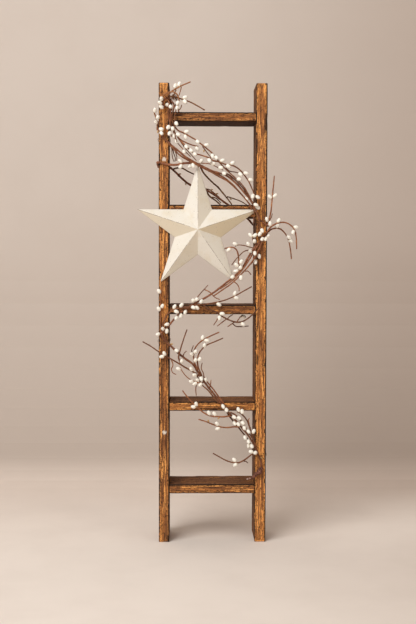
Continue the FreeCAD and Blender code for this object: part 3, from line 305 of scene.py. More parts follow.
def boardMesh(name, node, longAxis, seed):
    look = boardLook
    low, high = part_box(node)
    upright = longAxis == 2
    across = [axis for axis in range(3) if axis != longAxis]
    sectionLow = [low[axis] for axis in across]
    sectionHigh = [high[axis] for axis in across]
    middle = [(sectionLow[i] + sectionHigh[i]) / 2 for i in range(2)]
    half = [(sectionHigh[i] - sectionLow[i]) / 2 for i in range(2)]
    length = high[longAxis] - low[longAxis]
    ends = look["endSteps"]
    endRadius = ends[-1]
    count = round((length - 2 * endRadius) / look["step"])
    run = (length - 2 * endRadius) / count
    stations = list(ends) + [endRadius + run * step for step in range(1, count)]
    stations += [length - station for station in reversed(ends)]
    points, values = [], []
    for station in stations:
        fromEnd = min(station, length - station)
        rounding = max(0, 1 - fromEnd / endRadius)
        inset = endRadius * (1 - sqrt(max(0, 1 - rounding ** 2)))
        for v, w, edge in boardSection(sectionLow, sectionHigh, cornerRadii(station, seed)):
            broad = noise.noise(Vector((station, v, w)) * look["sags"] + Vector((seed, 0, 0)))
            alongGrain, acrossGrain = look["gouges"]
            grain = noiseAt(station * alongGrain, v * acrossGrain, w * acrossGrain + seed)
            gouge = smoothStep(*look["gougeFrom"], grain) * (0.4 + 0.6 * edge)
            depth = look["sag"] * (0.5 + 0.5 * broad) * (1 - edge) + look["gouge"] * gouge + inset
            pull = Vector([copysign((abs(at - to) / reach) ** look["squareness"], to - at)
                           for at, to, reach in zip((v, w), middle, half)])
            if pull.length > 0:
                pull.normalize()
            at = [0, 0, 0]
            at[longAxis] = low[longAxis] + station
            at[across[0]] = v + pull[0] * depth
            at[across[1]] = w + pull[1] * depth
            points.append(at)
            inward = (1 - edge) * look["borderWidth"]
            # painted shade: a rail's right edges, which face away from the light, get a darker edge line;
            # a rung's top edges keep more stain
            shadeAndStainSide = v > middle[0] if upright else w > middle[1]
            line = (1 - inward / look["rimWidth"]) * look["shadeAndStainLine" if shadeAndStainSide else "lightLine"]
            line = max(line, rounding, 1 - fromEnd / look["endLine"], 0)
            front = 1 - smoothStep(*look["faceDepth"], at[1] - low[1])
            # painted shade: marks a rung's underside to be darkened
            under = 0 if upright else 1 - smoothStep(*look["faceDepth"], at[2] - low[2])
            values.append((edge, line, gouge, front, under))
    faces = ringFaces(0, len(stations), len(points) // len(stations))
    names = ("border", "edge", "gouge", "front", "under")
    mesh = meshFrom(name, points, faces, dict(zip(names, zip(*values))))
    bm = bmesh.new()
    bm.from_mesh(mesh)
    bmesh.ops.recalc_face_normals(bm, faces=bm.faces)
    bm.to_mesh(mesh)
    bm.free()
    return mesh


def wormPlaces(low, high, longAxis, amount, draws):
    # (centre, direction, radius, depth) of each hole
    look = boardLook
    places = []
    spans = [high[axis] - low[axis] for axis in range(3)]
    across = [axis for axis in range(3) if axis != longAxis]
    for _ in range(amount):
        faceAxis = draws.choices(across, weights=[spans[across[1]], spans[across[0]]])[0]
        side = draws.choice((-1, 1))
        direction, at = Vector(), Vector()
        direction[faceAxis] = -side
        for axis in range(3):
            margin = look["wormEndMargin" if axis == longAxis else "wormMargin"]
            at[axis] = draws.uniform(low[axis] + margin, high[axis] - margin)
        at[faceAxis] = high[faceAxis] if side > 0 else low[faceAxis]
        radius = look["wormRadius"] * draws.uniform(0.6, 1.25)
        places.append((at, direction, radius, look["wormDepth"] * draws.uniform(0.6, 1.2)))
    return places


def holeCutter(places):
    # small cones, which narrow inwards and stand out of the face as far as they go in
    bm = bmesh.new()
    for centre, direction, radius, depth in places:
        turn = direction.to_track_quat("Z", "Y").to_matrix().to_4x4()
        at = Matrix.Translation(centre - direction * depth * 0.5) @ turn
        bmesh.ops.create_cone(bm, cap_ends=True, segments=boardLook["holeSides"], radius1=radius * 1.05,
                              radius2=radius * 0.7, depth=depth * 2, matrix=at)
    return bm


def boxCutter(boxes):
    # plain blocks between two corners, used for the brads' own holes
    bm = bmesh.new()
    for low, high in boxes:
        middle, size = (low + high) / 2, high - low
        bmesh.ops.create_cube(bm, size=1, matrix=Matrix.Translation(middle) @ Matrix.Diagonal((*size, 1)))
    return bm


def cutWith(piece, bm):
    cutter = placed("cutter", meshOf("cutter", bm))
    cut = piece.modifiers.new("holes", "BOOLEAN")
    cut.object = cutter
    cut.operation = "DIFFERENCE"
    cut.solver = "MANIFOLD"
    graph = bpy.context.evaluated_depsgraph_get()
    made = bpy.data.meshes.new_from_object(piece.evaluated_get(graph))
    piece.modifiers.clear()
    old = piece.data
    piece.data = made
    bpy.data.meshes.remove(old)
    bpy.data.objects.remove(cutter)


woodLook = {
    "gold": srgb(255, 178, 98),
    "honey": srgb(184, 118, 62),
    "brown": srgb(134, 85, 50),
    "dark": srgb(74, 46, 29),
    "black": srgb(28, 17, 11),
    # painted shade for the rungs' undersides
    "underside": srgb(56, 30, 13),
    "scuff": srgb(232, 224, 212),
    # how fine across and along the grain per metre, detail, roughness, distortion
    "broad": (60, 9, 3, 0.55, 0.5),
    "streaks": (340, 14, 5, 0.6, 0.5),
    "flakes": (260, 17, 5, 0.68, 0.7),
    "mottle": (330, 120, 5, 0.7, 1.0),
    "hair": (1500, 70, 3, 0.6, 0.0),
    "breaks": (30, 34, 4, 0.55, 0.0),
    "chips": (210, 95, 5, 0.7, 0.6),
    "flecks": (480, 220, 2, 0.7, 0.8),
    "broadShare": 0.45,  # the streaks make up the rest of the tone
    "wearShift": 0.14,  # how much wear moves the coats
    "honeyAt": (0.47, 0.58),
    "goldAt": (0.54, 0.61, 0, 0.95),
    "stainAt": (0.52, 0.61, 0, 0.88),
    "streakAt": (0.35, 0.45, 0.8, 0),
    "hairAt": (0.36, 0.52, 0.35, 0),
    "lineOuter": (0.7, 0.45),
    "lineInner": (0.0, 0.25),
    "lineBreaks": (0.4, 0.52),
    "lineGold": 1.2,
    "edgeChips": 0.5,
    "edgeAt": (0.84, 0.94, 0, 0.92),
    "borderFlecks": 0.08,
    "fleckAt": (0.6, 0.65, 0, 0.85),
    "gougeAt": (0.1, 0.6, 0, 0.8),
    "behindAt": (1, 0, 0, 0.25),
    "underShadeDepth": 0.75,
    "scuffPlaces": ((-96 * mm, -41 * mm, 764 * mm), (-96 * mm, -41 * mm, 222 * mm)),
    "scuffReach": 9 * mm,
    "scuffAt": (0.72, 0.9, 0, 0.8),
    "satin": (0.3, 0.7, 0.42, 0.6),
    "behindRough": (1, 0, 0, 0.3),
    "relief": 0.7 * mm,
}


def woodMaterial(name, longAxis, seed, rubbed, rubbedBehind):
    look = woodLook
    nodes = newMaterial(name)

    def pattern(key):
        across, lengthwise, *rest = look[key]
        scale = [across] * 3
        scale[longAxis] = lengthwise
        return nodes.noise(scale, *rest, offset=(seed * 1.7, seed * 0.9, seed * 2.3))

    streaks = pattern("streaks")
    mottle = pattern("mottle")
    edge = nodes.value("edge")
    front = nodes.value("front")
    # how far the stain is rubbed back: front faces more than the others
    wear = nodes.between(front, 0, 1, rubbedBehind, rubbed)
    shift = nodes.times(nodes.maths("SUBTRACT", wear, 0.5), look["wearShift"])
    tone = nodes.plus(nodes.times(pattern("broad"), look["broadShare"]),
                      nodes.times(streaks, 1 - look["broadShare"]))
    nodes.base = look["brown"]
    nodes.coat(nodes.plus(tone, shift), look["honeyAt"], look["honey"])
    # golden flakes where it is worn through, dark stain left in patches and in the grain
    nodes.coat(nodes.plus(pattern("flakes"), shift), look["goldAt"], look["gold"])
    nodes.coat(nodes.maths("SUBTRACT", mottle, shift), look["stainAt"], look["dark"])
    nodes.coat(streaks, look["streakAt"], look["dark"])
    nodes.coat(pattern("hair"), look["hairAt"], look["dark"])
    # a bright rubbed line just inside each edge, broken up along its length
    line = nodes.times(nodes.between(edge, *look["lineInner"]), nodes.between(edge, *look["lineOuter"]))
    line = nodes.times(line, nodes.between(pattern("breaks"), *look["lineBreaks"]))
    nodes.cover(nodes.times(line, nodes.times(wear, look["lineGold"])), look["gold"])
    # old wax and stain: on the edges, in short cross marks, pits and gouges; along a rail's right edges
    # the extra dark is painted shade
    chips = nodes.plus(nodes.times(edge, look["edgeChips"]), pattern("chips"))
    nodes.coat(chips, look["edgeAt"], look["black"])
    flecks = nodes.plus(pattern("flecks"), nodes.times(nodes.value("border"), look["borderFlecks"]))
    nodes.coat(flecks, look["fleckAt"], look["black"])
    nodes.coat(nodes.value("gouge"), look["gougeAt"], look["black"])
    # the faces behind the front hold more stain, and a rung's underside gets a near-black painted shade
    nodes.coat(front, look["behindAt"], look["dark"])
    nodes.cover(nodes.times(nodes.value("under"), look["underShadeDepth"]), look["underside"])
    if name.startswith("left_rail"):
        for spot in look["scuffPlaces"]:
            away = nodes.add("ShaderNodeVectorMath", {0: nodes.coordinates, 1: spot}, "Value",
                             operation="DISTANCE")
            pale = nodes.plus(nodes.between(away, look["scuffReach"], 0.0, 0, 0.5), mottle)
            nodes.coat(pale, look["scuffAt"], look["scuff"])
    nodes.bump(nodes.plus(nodes.times(streaks, 0.6), nodes.times(mottle, 0.4)), 0.6, look["relief"])
    satin = nodes.between(streaks, *look["satin"])
    return nodes.finish(nodes.plus(satin, nodes.between(front, *look["behindRough"])), 0.18)


def holeMaterial():
    nodes = newMaterial("hole_dark")
    nodes.base = woodLook["black"]
    nodes.cover(nodes.noise(900), woodLook["dark"])
    return nodes.finish(0.9, 0.15)


# brads, the star's nail and its wire

bradLook = {
    "shankWidth": 1.6 * mm,
    "headThickness": 1.2 * mm,
    "play": 0.05 * mm,
    "overrun": 2 * mm,  # how far a head's hole is cut past the rail's face
    "nailHole": 1.15 * mm,  # radius
    "steel": srgb(150, 146, 140),
    "steelDark": srgb(96, 92, 88),
    "rust": srgb(112, 74, 48),
    "drawnAt": (0.35, 0.65),
    "rustAt": (0.62, 0.74),
    "sheen": (0.3, 0.7, 0.32, 0.5),
    "relief": 0.15 * mm,
}


def bradHoles(rail, outward):
    # blocks for the heads, out through the rail's face, and blocks for the shanks
    look = bradLook
    bm, groups = islands(f"{rail}_brads")
    play = Vector((0, look["play"], look["play"]))
    heads, shanks = [], []
    for group in groups:
        low, high = [Vector([pick(vert.co[axis] for vert in group) for axis in range(3)])
                     for pick in (min, max)]
        headLow, headHigh = low - play, high + play
        thin = Vector((0, 0, (high.z - low.z - look["shankWidth"]) / 2))
        shankLow, shankHigh = headLow + thin, headHigh - thin
        if outward < 0:
            headHigh.x = low.x + look["headThickness"] + look["play"]
            headLow.x = low.x - look["overrun"]
            shankHigh.x += look["play"]
        else:
            headLow.x = high.x - look["headThickness"] - look["play"]
            headHigh.x = high.x + look["overrun"]
            shankLow.x -= look["play"]
        heads.append((headLow, headHigh))
        shanks.append((shankLow, shankHigh))
    bm.free()
    return heads, shanks


def wireSteel(name, rusty):
    look = bradLook
    nodes = newMaterial(name)
    drawn = nodes.noise(1400, roughness=0.6)
    spots = nodes.noise(420, roughness=0.65)
    rustFrom, rustTo = look["rustAt"]
    nodes.base = look["steelDark"]
    nodes.coat(drawn, look["drawnAt"], look["steel"])
    nodes.coat(spots, (rustFrom - 0.2 * rusty, rustTo - 0.2 * rusty, 0, 0.8), look["rust"])
    nodes.bump(drawn, 0.3, look["relief"])
    return nodes.finish(nodes.between(spots, *look["sheen"]), metallic=0.85)


def dressFixings():
    steel = wireSteel("brad_steel", 0.2)
    nailSteel = wireSteel("nail_steel", 0.4)
    dressed = {"left_rail_brads": steel, "right_rail_brads": steel, "star_nail": nailSteel}
    for node, material in dressed.items():
        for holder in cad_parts[node].material_slots:
            holder.material = material
    wireMade = wireSteel("hanging_wire", 0.3)
    wire = makeStems("star_back_wire", "star_hanging_wire", "hanging_wire", wireMade, 70)
    print("fixings dressed, wire made:", wire.name)


def makeBoards():
    dark = holeMaterial()
    bradCuts = {rail: bradHoles(rail, out) for rail, out in (("left_rail", -1), ("right_rail", 1))}
    shanks = [pair for heads, ownShanks in bradCuts.values() for pair in ownShanks]
    nailLow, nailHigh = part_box("star_nail")
    nailMiddle = (nailLow + nailHigh) / 2
    for node, longAxis, seed, slotName, rubbed, rubbedBehind in boardList:
        low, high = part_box(node)
        wood = woodMaterial(f"{node}_wood", longAxis, seed, rubbed, rubbedBehind)
        piece = addPiece(boardMesh(f"worn_{node}", node, longAxis, seed), node, slotName, wood, dark)
        amount = round(boardLook["wormHoles"] * (high[longAxis] - low[longAxis]) / boardLook["wormSpan"])
        cutWith(piece, holeCutter(wormPlaces(low, high, longAxis, amount, random.Random(seed))))
        near = [pair for pair in shanks if low.z < pair[0].z < high.z]
        for boxes in bradCuts.get(node, [near]):
            cutWith(piece, boxCutter(boxes))
        if node == "rung_2":
            reach = nailHigh.y - low.y + bradLook["play"]
            start = Vector((nailMiddle.x, low.y, nailMiddle.z))
            cutWith(piece, holeCutter([(start, Vector((0, 1, 0)), bradLook["nailHole"], reach)]))
    print("boards made:", len(boardList))


# the folded star

starLook = {
    "rim": 2.0 * mm,
    "rimSteps": ((0.5, 0.075), (1.5, 0.075), (2.0, 0.225)),  # mm back, mm drawn in
    "sheet": 0.6 * mm,
    "facetSteps": 30,
    "foldBlur": 0.5 * mm,  # how soft the folds are
    "foldAngle": 10,  # degrees; a sharper bend than this is a crisp fold
    "foldTo": 0.97,  # how far out the folds are softened
    "dent": 0.35 * mm,
    "dents": 24,  # per metre
    "dentTo": 0.8,
    "sameSpot": 0.002 * mm,
    "rubWidth": 3.4 * mm,
    "rubFrom": (0.06, 0.16),  # share of the way out from the peak
    "rimFrom": 0.975,
    "cream": srgb(232, 226, 214),
    # used for real ageing patches, and also as the facets' painted shade
    "agedAndShadeTint": srgb(220, 203, 170),
    "rust": srgb(98, 72, 50),
    # painted shade: how strongly each facet turned away from the light gets the warm, darker tint, from
    # the right half of the top arm and round clockwise
    "facetShade": (0.3, 0.05, 0.9, 0.1, 0.0, 0.35, 0.0, 0.6, 0.05, 0.0),
    "facetShadeDepth": 0.9,
    "patchAt": (0.45, 0.8, 0, 0.5),
    "brushAt": (0.55, 0.8, 0, 0.3),
    "speckAt": (0.715, 0.745, 0, 0.7),
    "ridgeAt": (0.66, 0.86),
    "dashAt": (0.41, 0.5, 0.1, 0.9),
    "rimAt": (1.6, 1.85, 0, 0.4),
    "satin": (0.3, 0.7, 0.5, 0.66),
    "relief": 0.35 * mm,
}


def starCorners():
    # the middle, and the ten corners round it from the top tip clockwise
    low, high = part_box("star_shell")
    tipTurn = 2 * pi / 5
    xRadius = (high.x - low.x) / 2 / sin(tipTurn)
    zRadius = (high.z - low.z) / (1 + cos(tipTurn / 2))
    centre = Vector(((low.x + high.x) / 2, high.z - zRadius))
    inner = cos(tipTurn) / cos(tipTurn / 2)
    corners = []
    for step in range(10):
        turn = step * tipTurn / 2
        reach = 1 if step % 2 == 0 else inner
        corners.append(Vector((xRadius * reach * sin(turn), zRadius * reach * cos(turn))))
    return centre, corners


def rimShare(place, corners):
    # 0 at the star's peak, 1 at its rim
    for index, corner in enumerate(corners):
        after = corners[(index + 1) % len(corners)]
        area = corner.x * after.y - corner.y * after.x
        first = (place.x * after.y - place.y * after.x) / area
        second = (corner.x * place.y - corner.y * place.x) / area
        if first >= -1e-9 and second >= -1e-9:
            return first + second
    return 0


def makeStar():
    look = starLook
    low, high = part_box("star_shell")
    centre, corners = starCorners()
    rise = high.y - low.y - look["rim"]
    steps = look["facetSteps"]
    bm = bmesh.new()
    foldLayer = bm.verts.layers.float.new("fold")
    facetShadeLayer = bm.faces.layers.float.new("facet_shade")
    rimLayer = bm.verts.layers.float.new("rim")
    turns = [step * pi / 3 for step in range(6)]
    blur = [Vector((0, 0))] + [Vector((cos(turn), sin(turn))) * look["foldBlur"] for turn in turns]

    def surface(place):
        share = rimShare(place, corners)
        raised = sum(1 - rimShare(place + offset, corners) for offset in blur) / len(blur)
        blend = smoothStep(1.0, look["foldTo"], share)
        height = rise * (raised * blend + (1 - share) * (1 - blend))
        dent = noiseAt(place.x * look["dents"], place.y * look["dents"], 5) * look["dent"]
        return high.y - look["rim"] - height + abs(dent * smoothStep(1, look["dentTo"], share))

    shared = {}  # facets meet in the same points along their folds

    def pointAt(place):
        key = (round(place.x / look["sameSpot"]), round(place.y / look["sameSpot"]))
        if key not in shared:
            shared[key] = bm.verts.new((centre.x + place.x, surface(place), centre.y + place.y))
        return shared[key]

    for index, corner in enumerate(corners):
        after = corners[(index + 1) % len(corners)]
        rows = []
        for row in range(steps + 1):
            line = []
            for column in range(row + 1):
                share = row / steps
                slide = column / row if row else 0
                vert = pointAt((corner * (1 - slide) + after * slide) * share)
                line.append(vert)
                # only the ridges, out to the tips, are rubbed
                nearFold = (slide if index % 2 == 0 else 1 - slide) * share * (corner - after).length
                onRidge = max(0, 1 - nearFold / look["rubWidth"])
                vert[foldLayer] = onRidge * smoothStep(*look["rubFrom"], share)
                vert[rimLayer] = smoothStep(look["rimFrom"], 1.0, share)
            rows.append(line)
        for row in range(steps):
            for column in range(row + 1):
                near, far = rows[row], rows[row + 1]
                made = [bm.faces.new((near[column], far[column + 1], far[column]))]
                if column < row:
                    made.append(bm.faces.new((near[column], near[column + 1], far[column + 1])))
                for face in made:
                    face[facetShadeLayer] = look["facetShade"][index]
    bmesh.ops.remove_doubles(bm, verts=bm.verts, dist=0.01 * mm)
    for edge in bm.edges:
        edge.smooth = edge.calc_face_angle(0) < radians(look["foldAngle"])
    # rolled rim: the border is drawn back in three steps
    middle = Vector((centre.x, 0, centre.y))
    border = [edge for edge in bm.edges if edge.is_boundary]
    for depth, inset in look["rimSteps"]:
        made = bmesh.ops.extrude_edge_only(bm, edges=border)["geom"]
        border = [item for item in made if isinstance(item, bmesh.types.BMEdge)]
        for vert in [item for item in made if isinstance(item, bmesh.types.BMVert)]:
            vert.co.y = high.y - look["rim"] + depth * mm
            inward = (middle - vert.co) * Vector((1, 0, 1))
            vert.co += inward.normalized() * inset * mm
            vert[rimLayer] = 1
        border = [edge for edge in border if edge.is_boundary]
    bmesh.ops.recalc_face_normals(bm, faces=bm.faces)
    if sum(face.normal.y * face.calc_area() for face in bm.faces) > 0:
        bmesh.ops.reverse_faces(bm, faces=bm.faces)
    mesh = meshOf("painted_star", bm)
    mesh.polygons.foreach_set("use_smooth", [True] * len(mesh.polygons))
    piece = addPiece(mesh, "star_shell", "star_paint", starMaterial())
    thick = piece.modifiers.new("sheet", "SOLIDIFY")
    thick.thickness = look["sheet"]
    thick.offset = -1
    print("star made")


def starMaterial():
    look = starLook
    nodes = newMaterial("aged_cream_paint_and_painted_shade")
    mottle = nodes.noise(40, detail=6, roughness=0.6)
    fine = nodes.noise(900, roughness=0.65)
    brush = nodes.noise(260, roughness=0.7)
    specks = nodes.noise(520, detail=1.5, roughness=0.5, offset=(3, 1, 7))
    dashes = nodes.noise(170, detail=5, roughness=0.72, offset=(2, 9, 4))
    nodes.base = look["cream"]
    nodes.coat(mottle, look["patchAt"], look["agedAndShadeTint"])
    # painted shade: the facets turned away from the light get a warm, darker tint
    nodes.cover(nodes.times(nodes.value("facet_shade"), look["facetShadeDepth"]), look["agedAndShadeTint"])
    nodes.coat(brush, look["brushAt"], look["agedAndShadeTint"])
    nodes.coat(specks, look["speckAt"], look["rust"])
    # thin dashes where the paint is rubbed through along the ridges
    ridge = nodes.between(nodes.plus(nodes.value("fold"), nodes.times(fine, 0.2)), *look["ridgeAt"])
    nodes.cover(nodes.times(ridge, nodes.between(dashes, *look["dashAt"])), look["rust"])
    nodes.coat(nodes.plus(nodes.value("rim"), nodes.times(fine, 1.2)), look["rimAt"], look["rust"])
    nodes.bump(nodes.plus(nodes.times(brush, 0.6), nodes.times(fine, 0.4)), 0.3, look["relief"])
    return nodes.finish(nodes.between(mottle, *look["satin"]), 0.35)


# stems: the centre lines are read from the CAD solids, whose rings have six corners

def inOrder(verts):
    # the same order in every run
    return sorted(set(verts), key=lambda vert: vert.index)


def nextLayer(layer, reached):
    # the corners one edge further on, which then count as reached
    return [other for one in layer for link in one.link_edges for other in [link.other_vert(one)]
            if other not in reached and not reached.add(other)]


def islands(node):
    bm = bmesh.new()
    bm.from_mesh(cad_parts[node].data)
    bmesh.ops.remove_doubles(bm, verts=bm.verts, dist=0.002 * mm)
    bm.verts.index_update()
    found = []
    seen = set()
    for vert in bm.verts:
        if vert in seen:
            continue
        group, layer = {vert}, [vert]
        while layer:
            layer = nextLayer(layer, group)
        seen |= group
        found.append(inOrder(group))
    return bm, found


def endCap(group):
    # the flat six-cornered face at one end of a stem
    layer, reached = [group[0]], {group[0]}
    while layer:
        last = layer
        layer = nextLayer(layer, reached)
    for tip in last:
        for face in tip.link_faces:
            flat, spread = {face}, [face]
            while spread:
                spread = [near for one in spread for link in one.edges for near in link.link_faces
                          if near not in flat and near.normal.dot(face.normal) > 0.99995
                          and not flat.add(near)]
            corners = inOrder(vert for one in flat for vert in one.verts)
            middle = sum((vert.co for vert in corners), Vector()) / len(corners)
            reaches = [(vert.co - middle).length for vert in corners]
            if len(corners) == 6 and max(reaches) < 1.02 * min(reaches):
                return corners
    return None


def stemRings(node, even=True):
    # for each stem of a node: its centre line and the radius at each point
    bm, groups = islands(node)
    stems = []
    for group in groups:
        ring = endCap(group)
        if not ring:
            print("no end found on a stem of", node)
            continue
        reached = set(ring)
        centres, radii = [], []
        while ring:
            centre = sum((vert.co for vert in ring), Vector()) / len(ring)
            centres.append(centre.copy())
            radii.append(sum((vert.co - centre).length for vert in ring) / len(ring))
            ring = inOrder(nextLayer(ring, reached))
        if radii[0] < radii[-1]:
            centres.reverse()
            radii.reverse()
        last = max(len(centres) - 1, 1)
        if even:
            radii = [radii[0] + (radii[-1] - radii[0]) * index / last for index in range(len(centres))]
        stems.append((centres, radii))
    bm.free()
    stems.sort(key=lambda stem: tuple(round(number, 5) for number in stem[0][0]))
    return stems


def softPath(points, radii, step):
    # an even run of places on a smooth curve through the points
    ends = [points[0] * 2 - points[1]] + points + [points[-1] * 2 - points[-2]]
    path, sizes = [], []
    for index in range(len(points) - 1):
        a, b, c, d = ends[index:index + 4]
        count = max(1, round((c - b).length / step))
        first, last = (b - a).length, (d - c).length
        span = max((c - b).length, 1e-6)
        leave = (c - a) / (first + span) * span
        arrive = (d - b) / (span + last) * span
        for piece in range(count):
            t = piece / count
            path.append(b * (2 * t ** 3 - 3 * t ** 2 + 1) + leave * (t ** 3 - 2 * t ** 2 + t)
                        + c * (-2 * t ** 3 + 3 * t ** 2) + arrive * (t ** 3 - t ** 2))
            sizes.append(radii[index] + (radii[index + 1] - radii[index]) * t)
    path.append(points[-1].copy())
    sizes.append(radii[-1])
    return path, sizes


def pathLength(path):
    return sum((after - before).length for before, after in zip(path, path[1:]))


def roundShape(distance, turn):
    return 1


def tube(path, sizes, sides, shape, points, faces):
    # sweeps a ring along a path; shape(distance, turn) gives the radius as a share
    start = len(points)
    side = (path[1] - path[0]).normalized().orthogonal().normalized()
    distance = 0
    for index, centre in enumerate(path):
        before = path[max(index - 1, 0)]
        after = path[min(index + 1, len(path) - 1)]
        turned = (after - before).normalized()
        side = (side - turned * side.dot(turned)).normalized()
        other = turned.cross(side)
        distance += (centre - before).length
        for step in range(sides):
            turn = 2 * pi * step / sides
            reach = sizes[index] * shape(distance, turn)
            points.append(centre + (side * cos(turn) + other * sin(turn)) * reach)
    faces += ringFaces(start, len(path), sides)


barkLook = {
    "step": 2.2 * mm,
    "sides": 10,
    "swell": 1.1,  # of the solid's radius
    "backSwell": 1.25,
    "barkFrom": 0.8 * mm,  # thinner stems are bare wire
    "body": 0.97,  # of the radius, between the knots
    "most": 1.3,
    "knotEvery": 17 * mm,
    "knotSwell": 0.3,  # of the radius
    "wobble": 0.1,  # of the radius
    "wobbles": 260,  # per metre
    "ridge": 0.1,
    "ridges": 60,  # per metre
    # body, light and dark of each kind of bark
    "main": (srgb(134, 79, 50), srgb(192, 128, 90), srgb(48, 26, 16)),
    "twig": (srgb(138, 82, 50), srgb(194, 130, 84), srgb(46, 26, 15)),
    "honey": (srgb(158, 98, 56), srgb(206, 144, 88), srgb(66, 37, 21)),
    # painted shade: a darker copy of the twig bark for the back twigs, which lie in shade behind the
    # ladder and star; the tie wires use it as their own colour
    "dark": (srgb(116, 74, 40), srgb(198, 148, 86), srgb(44, 25, 13)),
    "patchAt": (0.4, 0.7, 0, 0.7),
    "toneDepth": 0.72,  # how dark the darkest stems are
    "darkAt": (0.34, 0.5, 0.75, 0),
    "lightAt": (0.58, 0.72, 0, 0.45),
    "relief": 0.25 * mm,
}


def barkShape(seed, length, radius):
    look = barkLook
    draws = random.Random(seed)
    knots = []
    at = draws.uniform(0.4, 1.0) * look["knotEvery"]
    while at < length:
        knots.append((at, draws.uniform(0.4, 1.2) * look["knotSwell"], draws.uniform(0, 2 * pi)))
        at += draws.uniform(0.6, 1.5) * look["knotEvery"]

    def shape(distance, turn):
        share = look["body"]
        for place, swell, facing in knots:
            gap = (distance - place) / (radius * 1.1)
            if abs(gap) < 3:
                share += swell * exp(-gap * gap) * (0.55 + 0.45 * cos(turn - facing))
        right, up = cos(turn), sin(turn)
        share += look["wobble"] * noiseAt(distance * look["wobbles"], right * 1.2, up * 1.2 + seed)
        share += look["ridge"] * noiseAt(distance * look["ridges"], right * 3, up * 3 - seed)
        return min(share, look["most"])

    return shape


def barkMaterial(name, colours):
    look = barkLook
    nodes = newMaterial(name)
    nodes.base, light, dark = colours
    streak = nodes.noise(900, roughness=0.65)
    nodes.coat(nodes.noise(120), look["patchAt"], light)
    nodes.cover(nodes.times(nodes.value("tone"), look["toneDepth"]), dark)  # each stem has its own
    nodes.coat(streak, look["darkAt"], dark)
    nodes.coat(streak, look["lightAt"], light)
    nodes.bump(streak, 0.5, look["relief"])
    return nodes.finish(0.6, 0.35)


def makeStems(pieceName, node, slotName, material, seed, swell=barkLook["swell"]):
    look = barkLook
    points, faces, tones = [], [], []
    draws = random.Random(seed)
    for index, (centres, radii) in enumerate(stemRings(node)):
        path, sizes = softPath(centres, radii, look["step"])
        bare = radii[0] < look["barkFrom"]
        shape = roundShape if bare else barkShape(seed * 100 + index, pathLength(path), radii[0])
        tube(path, [size * swell for size in sizes], look["sides"], shape, points, faces)
        tones += [draws.random() ** 1.3] * (len(points) - len(tones))
    return addPiece(meshFrom(pieceName, points, faces, {"tone": tones}), node, slotName, material)


tapeLook = {
    "step": 0.8 * mm,
    "sides": 18,
    "pitch": 3.4 * mm,  # one turn of the tape to the next
    "body": 0.9,  # of the radius, at a turn's low side
    "most": 1.12,
    "ridge": 0.1,
    "fuzz": 0.1,
    "fuzzes": 420,  # per metre
    "swell": 0.16,
    "swells": 90,  # per metre
    "brown": srgb(132, 82, 64),
    "light": srgb(196, 142, 120),
    "dark": srgb(58, 32, 24),
    "fluff": srgb(232, 208, 194),
    "fluffTo": 11 * mm,
    "brownAt": (0.38, 0.62),
    "lightAt": (0.5, 0.68, 0, 0.7),
    "fluffMore": 0.16,
    "fluffAt": (0.63, 0.7, 0, 0.9),
    "relief": 0.6 * mm,
}


def tapeShape(distance, turn):
    look = tapeLook
    lap = (distance / look["pitch"] - turn / (2 * pi)) % 1
    share = look["body"] + look["ridge"] * (1 - lap)
    place = Vector((distance * look["fuzzes"], cos(turn) * 2.2, sin(turn) * 2.2))
    share += look["fuzz"] * noise.noise(place) + look["fuzz"] * 0.6 * noise.noise(place * 2.7)
    share += look["swell"] * noiseAt(distance * look["swells"], 4, 2)
    return min(share, look["most"])


def tapeMaterial():
    look = tapeLook
    nodes = newMaterial("wound_paper_tape")
    cloud = nodes.noise(300, detail=5, roughness=0.7)
    fibre = nodes.noise(1500, roughness=0.7)
    nodes.base = look["dark"]
    nodes.coat(cloud, look["brownAt"], look["brown"])
    nodes.coat(fibre, look["lightAt"], look["light"])
    nearStart = nodes.between(nodes.value("along"), look["fluffTo"], 0, 0, look["fluffMore"])
    nodes.coat(nodes.plus(cloud, nearStart), look["fluffAt"], look["fluff"])
    nodes.bump(nodes.plus(cloud, fibre), 0.9, look["relief"])
    return nodes.finish(0.85, 0.2)


def makeTapedEnd():
    sides = tapeLook["sides"]
    centres, radii = stemRings("garland_taped_end", even=False)[0]
    path, sizes = softPath(centres, radii, tapeLook["step"])
    length = pathLength(path)
    points, faces = [], []
    tube(path, sizes, sides, tapeShape, points, faces)
    along = [ring / (len(path) - 1) * length for ring in range(len(path)) for _ in range(sides)]
    mesh = meshFrom("taped_tail", points, faces, {"along": along})
    addPiece(mesh, "garland_taped_end", "stem_tape", tapeMaterial())
    print("taped end:", round(length / mm), "mm,", len(points), "points")


# a tuft of bark fibre where the garland is knotted on; its dark mass also stands in for the shade between
# the knot's strands, painted shade

tuftLook = {
    "middle": (-76.5 * mm, -50.5 * mm, 884 * mm),
    "spread": (8.5 * mm, 4 * mm, 6 * mm),
    "strands": 70,
    "length": 15 * mm,
    "thick": 0.28 * mm,
    "headings": (1, 0.3, 0.8),
    "curl": 0.85,
    "steps": 8,
    "sides": 5,
    "colours": (srgb(124, 72, 36), srgb(186, 120, 66), srgb(58, 33, 18)),
}


